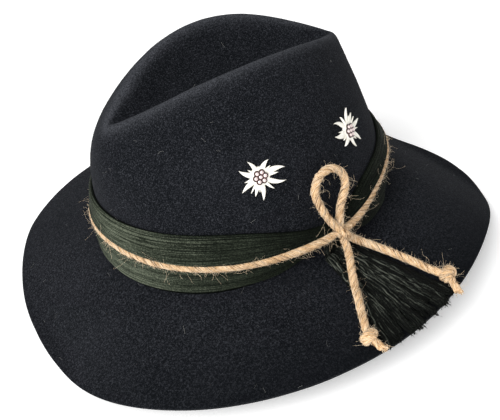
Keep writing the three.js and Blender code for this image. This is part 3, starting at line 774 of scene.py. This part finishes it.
# the mesh, and the places on it where the nap may stand
def makeFelt():
    columns = hat["columns"]
    profiles = [feltProfile(2 * math.pi * i / columns) for i in range(columns)]
    ridgeRow = felt["brimRows"] + felt["footRows"] + felt["wallRows"] + felt["ridgeRows"] / 2
    bm = bmesh.new()
    worn, fresh, coarse = (bm.verts.layers.float.new(name) for name in ("worn", "fresh", "coarse"))
    for vert, column, row in gridCorners(bm, columns, len(profiles[0]) - 1):
        vert.co = profiles[column % columns][row] * mm
        # a painted highlight along the crown's ridge, and painted shade at the near edge of the brim
        vert[worn] = math.exp(-((row - ridgeRow) / felt["highlightRows"]) ** 2)
        vert[fresh] = max(0, 1 - row / felt["shadeRows"]) * facing(2 * math.pi * column / columns, *felt["shadeAt"])
        vert[coarse] = 1 if row < felt["brimRows"] else 0
    bmesh.ops.remove_doubles(bm, verts=bm.verts, dist=1e-6)
    bmesh.ops.recalc_face_normals(bm, faces=bm.faces)
    if max(bm.faces, key=lambda f: f.calc_center_median().z).normal.z < 0:
        bmesh.ops.reverse_faces(bm, faces=bm.faces)
    bm.normal_update()
    spots = [(f.calc_center_median(), f.normal.copy(), f.calc_area()) for f in bm.faces]
    for vert in bm.verts:
        if vert.co.z > hat["felt"] * mm + 1e-4:
            wave = sum(height * noise.noise(vert.co * scale) for scale, height in felt["waves"])
            vert.co = vert.co + vert.normal * (wave * mm)
    bmesh.ops.solidify(bm, geom=bm.verts[:] + bm.edges[:] + bm.faces[:], thickness=hat["felt"] * mm)
    rim = [e for e in bm.edges if len(e.link_faces) == 2 and e.calc_face_angle() > math.radians(55)]
    bmesh.ops.bevel(bm, geom=rim, offset=felt["bevel"] * mm, segments=3, profile=0.5, affect="EDGES",
                    material=-1, clamp_overlap=True)
    for vert in bm.verts:
        vert.co.z = max(vert.co.z, 0)
    return meshFrom("feltHat", bm), spots


# the ridge colour is a painted highlight along the crown's ridge; deep is the darkest felt, in the grain between its
# hairs and as painted shade at the near edge of the brim; fleck is the paler wool in it, coarser on the brim
feltLook = {"worn": (0.11, 0.115, 0.13), "deep": (0.0022, 0.0028, 0.0037), "body": (0.0090, 0.0096, 0.0120),
            "fleck": (0.046, 0.049, 0.057), "sheen": (0.85, 0.9, 1.0)}


def makeFeltMaterial():
    bench = Bench("woolFelt")
    place = bench.objectPlace()
    cloud = bench.speckle(place, 30, 4, 0.6)
    short = bench.speckle(place, 1350, 2, 0.6)
    fine = bench.speckle(place, 3200, 1, 0.6)
    wool = bench.speckle(place, 700, 2, 0.65)
    grain = short * 0.52 + fine * 0.33 + wool * 0.15
    colour = bench.mixColour((grain + cloud * 0.25).between(0.5, 0.78), feltLook["deep"], feltLook["body"])
    tufts = bench.attribute("coarse") * wool.between(0.5, 0.7) * 0.3
    for factor, paint in ((grain.between(0.49, 0.72), "fleck"), (tufts, "fleck"),
                          # a painted highlight on the crown's ridge
                          (bench.attribute("worn") * grain.between(0.3, 0.7) * 0.5, "worn"),
                          # painted shade at the near edge of the brim
                          (bench.attribute("fresh") * 0.8, "deep")):
        colour = bench.mixColour(factor, colour, feltLook[paint])
    normal = bench.bump(grain, 0.6, 0.0007)
    return bench.surface(Base_Color=colour, Roughness=0.95, Specular_IOR_Level=0.03, Sheen_Weight=0.02,
                         Sheen_Roughness=0.5, Sheen_Tint=feltLook["sheen"], Normal=normal)


feltMesh, napSpots = makeFelt()
addPiece("feltHat", feltMesh, makeFeltMaterial(), "felt", "felt_body")


# short fibres standing on the felt, and a little pale lint
nap = {"hairs": 6300, "hairLength": (0.7, 1.8), "hairRadius": 0.034, "hairRise": (0.25, 1.0), "hairSteps": 2,
       "lint": 120, "lintLength": (2, 5), "lintRadius": 0.042, "lintRise": 0.12, "lintSteps": 6, "scatter": 1.2}
napLook = {"dark": (0.007, 0.008, 0.010), "pale": (0.032, 0.034, 0.04), "lint": (0.3, 0.3, 0.28)}


def makeNap():
    rng = random.Random(41)
    spots = rng.choices(napSpots, [area for place, normal, area in napSpots], k=nap["hairs"] + nap["lint"])
    scatter = nap["scatter"]
    paths = []
    for i, (place, normal, area) in enumerate(spots):
        flat = normal.orthogonal().normalized()
        across = normal.cross(flat)
        flat = spoke(flat, normal, rng.uniform(0, 2 * math.pi))
        start = place / mm + flat * rng.uniform(-scatter, scatter) + across * rng.uniform(-scatter, scatter)
        if i < nap["hairs"]:
            path = curlyHair(rng, start, normal * rng.uniform(*nap["hairRise"]) + flat,
                             rng.uniform(*nap["hairLength"]), 0.7, nap["hairSteps"])
            paths.append((path, nap["hairRadius"] * rng.uniform(0.7, 1.3), rng.random() * 0.6))
        else:
            path = curlyHair(rng, start + normal * 0.25, flat + normal * nap["lintRise"],
                             rng.uniform(*nap["lintLength"]), 1.6, nap["lintSteps"], normal)
            paths.append((path, nap["lintRadius"] * rng.uniform(0.7, 1.4), rng.uniform(0.75, 1)))
    return paths


def makeNapMaterial():
    bench = Bench("napFibre")
    colour = bench.ramp(bench.attribute("tone"), (0, napLook["dark"]), (0.62, napLook["pale"]), (1, napLook["lint"]))
    return bench.surface(Base_Color=colour, Roughness=0.9, Specular_IOR_Level=0.1)


addThreads("napFibres", makeNap(), makeNapMaterial(), "felt")
print("felt pressed")


# band: a padded base with its threads wound on it; the threads' tones hold a painted highlight where the light catches
# them, and painted shade at the knot and on the hat's front

threads = {
    "count": 150, "columns": 180, "radius": 0.24, "wander": 0.45, "grain": 3.2, "rise": 0.1, "tone": (0.08, 0.62),
    # where on the band the threads get a painted highlight, and painted shade at the knot and on the front
    "lit": (196, 10), "near": (band["knotAround"], 5), "front": (330, 3),  # degrees round the hat, and how tight
}
bandLook = {"dark": (0.0012, 0.0018, 0.0012), "deep": (0.008, 0.011, 0.007), "green": (0.03, 0.037, 0.025),
            "pale": (0.13, 0.145, 0.105)}
tasselLook = {"dark": (0.0006, 0.0008, 0.0007), "deep": (0.003, 0.0037, 0.003), "green": (0.016, 0.0185, 0.015),
              "pale": (0.09, 0.098, 0.08)}


def makeThreadMaterial(name, look, shine):
    bench = Bench(name)
    place = bench.objectPlace()
    patch = bench.speckle(place, 90, 3, 0.6)
    grain = bench.speckle(bench.uvPlace((1.5, 0.85, 1)), 1, 2, 0.6)
    fine = bench.speckle(place, 1250, 1, 0.5)
    rough = grain.between(0.36, 0.64) * 0.22 + fine.between(0.4, 0.62) * 0.2
    shade = (bench.attribute("tone") * 0.5 + patch * 0.22 + rough).between(0.1, 1.1)
    colour = bench.ramp(shade, (0, look["dark"]), (0.28, look["deep"]), (0.62, look["green"]), (1, look["pale"]))
    normal = bench.bump(grain + fine * 0.5, 0.5, 0.0003)
    return bench.surface(Base_Color=colour, Roughness=0.8 - 3 * shine, Specular_IOR_Level=shine, Normal=normal)


bandMaterial = makeThreadMaterial("bandThread", bandLook, 0.05)
tasselMaterial = makeThreadMaterial("tasselThread", tasselLook, 0.07)


# the value at x, eased from stop to stop
def alongLine(stops, x):
    for (x0, y0), (x1, y1) in zip(stops, stops[1:]):
        if x <= x1:
            f = max(0, (x - x0) / max(x1 - x0, 1e-9))
            return y0 + (y1 - y0) * f * f * (3 - 2 * f)
    return stops[-1][1]


# a point of the band's outer face: across runs from 0 at its upper edge to 1 at its lower edge
def bandOuter(angle, across, proud=0.0):
    at = bandAt(angle)
    top, hem, cord, thick = at["top"], at["hem"], at["cord"], at["thickness"]
    edge = band["inset"] - top
    run = edge + (hem - edge) * across
    above = cord + band["grooveMouth"] / 2 - band["overCord"]
    below = cord - band["grooveMouth"] / 2 + band["underGroove"]
    gap = band["gap"]
    padded, sunk = gap + at["swell"], gap + at["underCord"]
    if run <= -below:
        out = alongLine([
            (edge, gap + thick * band["edgeShare"]), (band["rounding"] - top, gap + thick),
            (-(above + (top - above) * 0.4), gap + (thick + at["swell"]) / 2), (-above, padded + band["lip"]),
            (-cord - band["grooveFloor"] / 2, sunk), (-cord + band["grooveFloor"] / 2, sunk), (-below, padded),
        ], run)
        return offFelt(angle, run, out + proud)
    f = (run + below) / max(hem + below, 1e-6)
    start = offFelt(angle, -below, padded)
    end = offFelt(angle, hem, gap + thick * band["hemShare"])
    bulge = (start + end) / 2 + footOut(angle) * (thick / 3)
    return bent(start, bulge, end, f) + (footOut(angle) + upwards * 0.6).normalized() * proud


# the base has no tone of its own, so between the threads it shows dark as painted shade
def makeBandBase():
    columns, rows = band["columns"], band["outerRows"] + band["innerRows"]
    outerLast, innerLast = band["outerRows"] - 1, band["innerRows"] - 1
    profiles = []
    for i in range(columns):
        angle = 2 * math.pi * i / columns
        at = bandAt(angle)
        edge = band["innerInset"] - at["top"]
        profiles.append(
            [bandOuter(angle, k / outerLast, -band["threadBed"]) for k in range(band["outerRows"])]
            + [offFelt(angle, at["hem"] + (edge - at["hem"]) * k / innerLast, band["gap"])
               for k in range(band["innerRows"])])
    bm = bmesh.new()
    for vert, column, row in gridCorners(bm, columns, rows):
        vert.co = profiles[column % columns][row % rows] * mm
    bmesh.ops.remove_doubles(bm, verts=bm.verts, dist=1e-6)
    bmesh.ops.recalc_face_normals(bm, faces=bm.faces)
    return meshFrom("bandBase", bm)


def makeBandThreads(first, last, seed):
    rng = random.Random(seed)
    paths = []
    for k in range(first, last):
        share = (k + 0.5) / threads["count"]
        tone = threads["tone"][0] + threads["tone"][1] * rng.random()
        layer = rng.random()
        own = rng.uniform(0, 90)
        points, tones = [], []
        for i in range(threads["columns"]):
            angle = 2 * math.pi * i / threads["columns"]
            place = Vector((math.cos(angle) * threads["grain"], math.sin(angle) * threads["grain"], own))
            pull = gathered(angle)
            stray = threads["wander"] * noise.noise(place) / band["top"]
            rise = threads["rise"] * noise.noise(place * 2.3) + pull * (layer * 1.2 - 0.4)
            points.append(bandOuter(angle, min(max(share + stray, 0), 1), rise))
            # painted light in the threads' tones: a highlight on the lit side, shade round the knot and where the band
            # is gathered, shade on the front
            lit, near, front = (facing(angle, *threads[key]) for key in ("lit", "near", "front"))
            tones.append(tone * (1 - 0.35 * near - 0.4 * pull) + 0.45 * lit - 0.1 * near - 0.2 * front
                         + 0.2 * noise.noise(place * 1.7))
        points.append(points[0])
        tones.append(tones[0])
        paths.append((points, threads["radius"] * rng.uniform(0.8, 1.2), tones))
    return paths


half = threads["count"] // 2
addPiece("bandBase", makeBandBase(), bandMaterial, "thread", "hatband")
addThreads("bandThreadsUpper", makeBandThreads(0, half, 11), bandMaterial, "thread")
addThreads("bandThreadsLower", makeBandThreads(half, 2 * half, 12), bandMaterial, "thread")
print("band wound")


# tassel: strands of the band's threads fanned out over the brim in bunches; locks are the solid's, each with
# its raggedness and its thickness

tassel = {
    "headWidth": 12, "headDrop": 1.2, "headThick": 5, "endThick": 2.8, "endWidth": 64, "first": 268.3, "last": 291.4,
    "overhang": -0.6, "stand": 0.2, "bow": 0.4, "fanFrom": 0.03, "fanCurve": 1.15,
    "strands": 500, "bunches": 25, "points": 30, "radius": 0.46, "ragged": 3.5,
    "bunchCut": 1.4, "bunchSway": (0.7, 1.9), "bunchWidth": (0.010, 0.023), "bunchTone": (-0.05, 0.06),
    "crimped": 0.88, "crimp": (0.7, 2.0), "strongCrimp": (2.8, 4.5), "strandCut": 1.2, "dull": 0.6,
    "bright": (0.4, 1.2), "grow": 0.25,
    "frays": 2, "frayRadius": 0.09, "frayLength": (1.5, 3.6), "frayTone": (0, 0.5),
    "sheetSize": (24, 14), "sheetReach": 0.94, "sheetHeight": 0.3, "sheetThick": 0.6,
    "locks": [(0.1, 0.8), (0.7, 0.95), (0.3, 0.85), (0.9, 1), (0.5, 0.88), (1, 1), (0.2, 0.9), (0.8, 0.98),
              (0.4, 0.86), (0.9, 1), (0.3, 0.9), (0.6, 0.8)],
}


# place runs across the fan, share along it, lift from 0 at the felt to 1 at the top of the lock
def tasselPoint(place, share, lift, cut=0.0):
    start = knotAngle + (place - 0.5) * tassel["headWidth"] / footRadius
    end = math.radians(tassel["first"] + (tassel["last"] - tassel["first"]) * place)
    fanned = max(0, share ** tassel["fanCurve"] - tassel["fanFrom"]) / (1 - tassel["fanFrom"])
    angle = start + (end - start) * fanned ** (1 - tassel["bow"] * min(max(place, 0), 1))
    head = band["gatherHeight"] / 2 - band["knotHeight"] + tassel["headDrop"]
    run = head + (reachAt(end) + tassel["overhang"] + cut - head) * share
    full = tassel["headThick"] + (tassel["endThick"] - tassel["headThick"]) * share
    return offFelt(angle, run, band["gap"] + tassel["stand"] + full * lift)


def makeBunches(rng):
    count = len(tassel["locks"])
    bunches = []
    for k in range(tassel["bunches"]):
        place = min(max((k + rng.uniform(-0.35, 1.35)) / tassel["bunches"], 0.01), 0.99)
        ragged, thick = tassel["locks"][min(int(place * count), count - 1)]
        dome = 0.55 + 0.45 * math.sin(math.pi * ((place * count) % 1)) ** 0.6
        bunches.append({
            "place": place, "height": rng.uniform(0.35, 1.0) * thick * dome,
            "cut": tassel["ragged"] * (ragged - 0.3) + rng.uniform(-tassel["bunchCut"], tassel["bunchCut"]),
            "seed": rng.uniform(0, 90), "sway": rng.uniform(*tassel["bunchSway"]),
            "width": rng.uniform(*tassel["bunchWidth"]), "tone": rng.uniform(*tassel["bunchTone"]),
        })
    return bunches


# one strand: it sways with its bunch, and is crimped by itself
def strandLine(bunch, off, depth, seed, crimp, cut, tone):
    points, tones = [], []
    last = tassel["points"] - 1
    for i in range(tassel["points"]):
        share = i / last
        grow = min(1, share / tassel["grow"])
        # a strand's tone carries painted highlights: they fade towards its head and its cut end and break up along it
        tones.append(tone * (0.4 + 0.6 * math.sin(math.pi * share ** 0.85) ** 0.6)
                     * (1 + 1.3 * waver(share * 11, seed, 9)))
        pinch = 1.25 - 0.75 * abs(2 * share - 0.9)
        wide = tassel["headWidth"] + (tassel["endWidth"] - tassel["headWidth"]) * share
        swing = waver(share * 2.6, bunch["seed"], 0) * bunch["sway"] * 2 + waver(share * 5.5, bunch["seed"], 3) * 1.6
        swing = (swing + waver(share * 10.5, seed, 0) * crimp * 1.25) * grow / wide
        lift = bunch["height"] * (0.6 + 0.4 * grow) + depth * 0.13 * pinch + waver(share * 7, seed, 5) * 0.2 * grow
        points.append(tasselPoint(bunch["place"] + off * bunch["width"] * pinch * grow + swing, share,
                                  max(lift, 0.03), cut))
    return points, tones


# two lists of paths: the strands, and the hairs that their cut ends come apart into
def makeTasselStrands():
    rng = random.Random(23)
    bunches = makeBunches(rng)
    strands, frays = [], []
    for k in range(tassel["strands"]):
        bunch = bunches[k % len(bunches)]
        off, depth = rng.gauss(0, 1), rng.gauss(0, 1)
        seed = rng.uniform(0, 90)
        crimp = rng.uniform(*tassel["crimp" if rng.random() < tassel["crimped"] else "strongCrimp"])
        cut = bunch["cut"] + rng.gauss(0, tassel["strandCut"]) - abs(depth) * 0.6
        # bright strands carry painted highlights; the dull ones keep their bunch's own dark tone
        dull = rng.random() < tassel["dull"]
        tone = bunch["tone"] + abs(rng.gauss(0, 0.12)) if dull else rng.uniform(*tassel["bright"])
        points, tones = strandLine(bunch, off, depth, seed, crimp, cut, tone)
        strands.append((points, tassel["radius"] * rng.uniform(0.7, 1.25), tones))
        ahead = (points[-1] - points[-2]).normalized()
        for j in range(tassel["frays"]):
            hair = curlyHair(rng, points[-1] - ahead * 0.8, ahead + Vector([rng.gauss(0, 0.45) for i in range(3)]),
                             rng.uniform(*tassel["frayLength"]), 1.0, 4)
            frays.append((hair, tassel["frayRadius"] * rng.uniform(0.7, 1.3), rng.uniform(*tassel["frayTone"])))
    return strands, frays


# a sheet that closes the gaps between the strands, dark as painted shade there
def makeTasselBase():
    bm = bmesh.new()
    across, along = tassel["sheetSize"]
    for vert, column, row in gridCorners(bm, across, along):
        vert.co = tasselPoint(column / across, row / along * tassel["sheetReach"], tassel["sheetHeight"]) * mm
    bmesh.ops.recalc_face_normals(bm, faces=bm.faces)
    bmesh.ops.solidify(bm, geom=bm.verts[:] + bm.edges[:] + bm.faces[:], thickness=tassel["sheetThick"] * mm)
    return meshFrom("tasselBase", bm)


addPiece("tasselBase", makeTasselBase(), tasselMaterial, "thread")
tasselPaths, tasselFrays = makeTasselStrands()
addThreads("tasselStrands", tasselPaths, tasselMaterial, "thread", "tassel")
addThreads("tasselEnds", tasselFrays, tasselMaterial, "thread")
print("tassel fanned")


# flower badges: pointed petals on a small hub, brown cups and a bead in each, and the clutch behind the felt

badge = {
    "radius": 16, "gap": 0.3, "thickness": 0.9, "petalGrid": (6, 9), "petalFrom": 1.2, "rise": 0.55,
    "widthShare": 0.84, "widest": 0.42, "crease": 0.2, "creaseWidth": 0.22, "tipRise": 0.35,
    "bendMiddle": 0.45, "bendRoot": 0.3, "shortPetal": 0.72, "shortLift": 0.12,
    "hub": 6.3, "hubSlope": 0.9, "hubExtra": 0.3, "heartRise": 1.0,
    "cupRadius": 1.9, "cupThickness": 0.55, "cupRim": 0.5, "cupHollow": 0.15, "cupBevel": 0.12,
    "beadRing": 2.9, "beadRadius": 1.12, "beadFlatness": 0.62, "beadRise": 0.25,
    "postRadius": 0.6, "postLength": 7, "postSunk": 0.5,
    "clutchRadius": 4.5, "clutchThickness": 2.5, "clutchStand": 0.7, "clutchFit": 0.3,
    "places": [("side", 255.5, 69, 0), ("front", 297.5, 68, 169)],  # degrees round the hat, height, turn
    "petals": [  # turn, length, width, bend
        (7, 0.99, 0.26, -7), (29, 0.56, 0.12, 0), (52, 0.7, 0.22, -8), (107, 0.73, 0.19, 6), (132, 0.54, 0.12, 0),
        (149, 0.83, 0.22, -6), (180, 0.61, 0.12, 0), (199, 0.87, 0.22, 4), (222, 0.69, 0.1, 0),
        (238, 0.74, 0.18, 0), (251, 0.58, 0.09, 0), (264, 0.88, 0.22, -5), (299, 0.71, 0.14, 4),
        (326, 1, 0.21, 9), (354, 0.71, 0.13, 0),
    ],
}
heartTop = badge["gap"] + badge["thickness"] + badge["heartRise"]


def badgePlace(turnAround, height, turn):
    angle = math.radians(turnAround)
    share = height / highAt(angle)
    front = (wallPoint(angle + 0.001, share) - wallPoint(angle - 0.001, share)).normalized()
    up = wallPoint(angle, share + 0.001) - wallPoint(angle, share - 0.001)
    out = front.cross(up).normalized()
    place = Matrix((front, out.cross(front).normalized(), out)).transposed().to_4x4()
    place.translation = wallPoint(angle, share)
    return Matrix.Scale(mm, 4) @ place @ Matrix.Rotation(math.radians(turn), 4, "Z")


# a petal's width at a share of its length: rounded out to its widest, then drawn to a point
def petalOutline(u):
    if u < badge["widest"]:
        return 0.62 + 0.42 * math.sin(math.pi * min(u / 0.5, 1) / 2)
    return max(1.04 * (1 - ((u - badge["widest"]) / (1 - badge["widest"])) ** 1.7), 0.03)


# one petal: a strip narrowed to its tip, raised along its middle with a crease in it, and closed below
def addPetal(bm, turn, length, width, bend):
    across, along = badge["petalGrid"]
    corners = gridCorners(bm, across, along)
    half = badge["radius"] * width * badge["widthShare"] / 2
    base = badge["gap"] + badge["thickness"] * 0.55 + (badge["shortLift"] if length < badge["shortPetal"] else 0)
    for vert, column, row in corners:
        v, u = 2 * column / across - 1, row / along
        far = badge["petalFrom"] + (badge["radius"] * length - badge["petalFrom"]) * u
        past = u - badge["bendMiddle"]
        swing = 0.9 * (u - 1) + 2.6 * past ** 2 * (1 if past > 0 else badge["bendRoot"])
        swing = math.radians(turn + bend * swing) + v * half * petalOutline(u) / max(far, 1)
        crown = badge["rise"] * (1 - v * v) * min(1, 1.35 - u)
        crown -= badge["crease"] * math.exp(-(v / badge["creaseWidth"]) ** 2) * (1 - u)
        vert.co = (far * math.cos(swing), far * math.sin(swing), base + crown + badge["tipRise"] * u * u)
    rim = list({edge for vert, column, row in corners for edge in vert.link_edges if edge.is_boundary})
    low = bmesh.ops.extrude_edge_only(bm, edges=rim)["geom"]
    for vert in (item for item in low if isinstance(item, bmesh.types.BMVert)):
        vert.co.z = badge["gap"]
    floor = [item for item in low if isinstance(item, bmesh.types.BMEdge) and item.is_boundary]
    bmesh.ops.holes_fill(bm, edges=floor, sides=0)


def addDisc(bm, centre, low, high, depth, segments):
    disc = bmesh.ops.create_cone(bm, cap_ends=True, segments=segments, radius1=low, radius2=high, depth=depth)
    bmesh.ops.translate(bm, vec=centre, verts=disc["verts"])


def makePetals():
    bm = bmesh.new()
    for petal in badge["petals"]:
        addPetal(bm, *petal)
    thick = badge["thickness"] + badge["hubExtra"]
    addDisc(bm, upwards * (badge["gap"] + thick / 2), badge["hub"], badge["hub"] - badge["hubSlope"], thick, 30)
    addDisc(bm, upwards * (badge["gap"] + badge["postSunk"] - badge["postLength"] / 2),
            badge["postRadius"], badge["postRadius"], badge["postLength"], 12)
    return bm


def cupPlaces():
    turns = [(badge["beadRing"], i * math.pi / 3) for i in range(6)] + [(0, 0)]
    return [Vector((far * math.cos(turn), far * math.sin(turn), 0)) for far, turn in turns]


def makeHeart():
    bm = bmesh.new()
    for spot in cupPlaces():
        addDisc(bm, spot + upwards * (heartTop - badge["cupThickness"] / 2), badge["cupRadius"], badge["cupRadius"],
                badge["cupThickness"], 20)
        top = [face for face in bm.faces
               if face.normal.z > 0.9 and (face.calc_center_median() - spot).xy.length < 0.1]
        bmesh.ops.inset_region(bm, faces=top, thickness=badge["cupRim"], depth=-badge["cupHollow"])
    rims = [edge for edge in bm.edges if len(edge.link_faces) == 2 and edge.calc_face_angle() > 1]
    bmesh.ops.bevel(bm, geom=rims, offset=badge["cupBevel"], segments=2, profile=0.5, affect="EDGES", material=-1)
    return bm


def makeBeads():
    bm = bmesh.new()
    for spot in cupPlaces():
        bead = bmesh.ops.create_uvsphere(bm, u_segments=20, v_segments=12, radius=badge["beadRadius"])["verts"]
        bmesh.ops.scale(bm, vec=(1, 1, badge["beadFlatness"]), verts=bead)
        bmesh.ops.translate(bm, vec=spot + upwards * (heartTop + badge["beadRise"]), verts=bead)
    return bm


def makeClutch():
    bm = bmesh.new()
    top = -hat["felt"] - badge["clutchStand"]
    inner, outer, low = badge["postRadius"] + badge["clutchFit"], badge["clutchRadius"], top - badge["clutchThickness"]
    profile = [(inner, top), (outer - 0.5, top), (outer, top - 0.5), (outer, top - 0.9), (outer * 0.8, top - 1.3),
               (outer * 0.78, low + 0.4), (outer * 0.7, low), (inner, low)]
    corners = [bm.verts.new((x, 0, z)) for x, z in profile]
    edges = [bm.edges.new(pair) for pair in zip(corners, corners[1:] + corners[:1])]
    bmesh.ops.spin(bm, geom=corners + edges, cent=(0, 0, 0), axis=(0, 0, 1), angle=2 * math.pi, steps=32,
                   use_merge=True)
    return bm


def makeEnamel(name, deep, pale, rough, coat):
    bench = Bench(name)
    place = bench.objectPlace()
    mottle = bench.speckle(place, 300, 3, 0.6) * 0.7 + bench.speckle(place, 1800, 2, 0.5) * 0.3
    colour = bench.mixColour(mottle.between(0.35, 0.65), deep, pale)
    return bench.surface(Base_Color=colour, Roughness=rough, Coat_Weight=coat, Coat_Roughness=0.2,
                         Normal=bench.bump(mottle, 0.25, 0.0003))


def makeMetal(name, dark, bright, metallic, rough):
    bench = Bench(name)
    cloud = bench.speckle(bench.objectPlace(), 900, 2, 0.5)
    tint = bench.mixColour(cloud.between(0.4, 0.62), dark, bright)
    return bench.surface(Base_Color=tint, Metallic=metallic, Roughness=cloud * 0.15 + rough)


badgeParts = (  # name, shape, material, slot and solids
    ("Petals", makePetals, makeEnamel("ivoryEnamel", (0.76, 0.73, 0.64), (0.93, 0.91, 0.84), 0.45, 0.15),
     "ivory_enamel", ["petals"]),
    ("Heart", makeHeart, makeEnamel("brownEnamel", (0.02, 0.006, 0.006), (0.06, 0.018, 0.014), 0.35, 0.4),
     "brown_enamel", ["heart"]),
    ("Beads", makeBeads, makeMetal("beadMetal", (0.72, 0.58, 0.56), (0.9, 0.78, 0.76), 0.6, 0.25),
     "bead_metal", ["bead_%d" % (i + 1) for i in range(7)]),
    ("Clutch", makeClutch, makeMetal("pinSteel", (0.45, 0.46, 0.48), (0.6, 0.61, 0.63), 1.0, 0.32),
     "pin_steel", ["clutch"]),
)
for which, turnAround, height, turn in badge["places"]:
    place = badgePlace(turnAround, height, turn)
    for part, make, material, slot, solids in badgeParts:
        bm = make()
        bmesh.ops.transform(bm, matrix=place, verts=bm.verts)
        bmesh.ops.recalc_face_normals(bm, faces=bm.faces)
        name = which + "Badge" + part
        addPiece(name, meshFrom(name, bm), material, slot, *("badge_%s_%s" % (which, solid) for solid in solids))
print("badges pinned")


# floor and light, with places in metres

studio = {"floor": (0.93, 0.93, 0.93), "floorGlow": 0.3, "floorHalf": 4, "floorDrop": 0.0002, "world": 0.62,
          "sun": 2.7, "sunFrom": (-1.1, -0.55, 0.78), "sunSoftness": 40,
          "lamp": 1.75, "lampFrom": (-0.36, -0.34, 0.52), "lampTo": (-0.03, -0.03, 0.12), "lampSize": 0.4}


def makeFloor():
    bench = Bench("floorPaint")
    grain = bench.speckle(bench.objectPlace(), 40, 2, 0.5)
    paint = bench.surface(Base_Color=studio["floor"], Roughness=0.7, Normal=bench.bump(grain, 0.02, 0.0005),
                          Emission_Color=studio["floor"], Emission_Strength=studio["floorGlow"])
    bm = bmesh.new()
    bmesh.ops.create_grid(bm, x_segments=1, y_segments=1, size=studio["floorHalf"])
    mesh = meshFrom("floor", bm)
    mesh.materials.append(paint)
    floor = linked("floor", mesh)
    floor.location.z = -studio["floorDrop"]


def addLight(name, kind, energy, place, aim):
    data = bpy.data.lights.new(name, kind)
    data.energy = energy
    light = linked(name, data)
    light.location = place
    light.rotation_euler = (Vector(place) - Vector(aim)).to_track_quat("Z", "Y").to_euler()
    return light


makeFloor()
world = bpy.data.worlds.new("softRoom")
world.use_nodes = True
sky = world.node_tree.nodes["Background"].inputs
sky["Color"].default_value = (1, 1, 1, 1)
sky["Strength"].default_value = studio["world"]
bpy.context.scene.world = world
sun = addLight("softSun", "SUN", studio["sun"], studio["sunFrom"], (0, 0, 0))
sun.data.angle = math.radians(studio["sunSoftness"])
lamp = addLight("softLamp", "AREA", studio["lamp"], studio["lampFrom"], studio["lampTo"])
lamp.data.size = studio["lampSize"]
lamp.visible_camera = False
print("studio set")
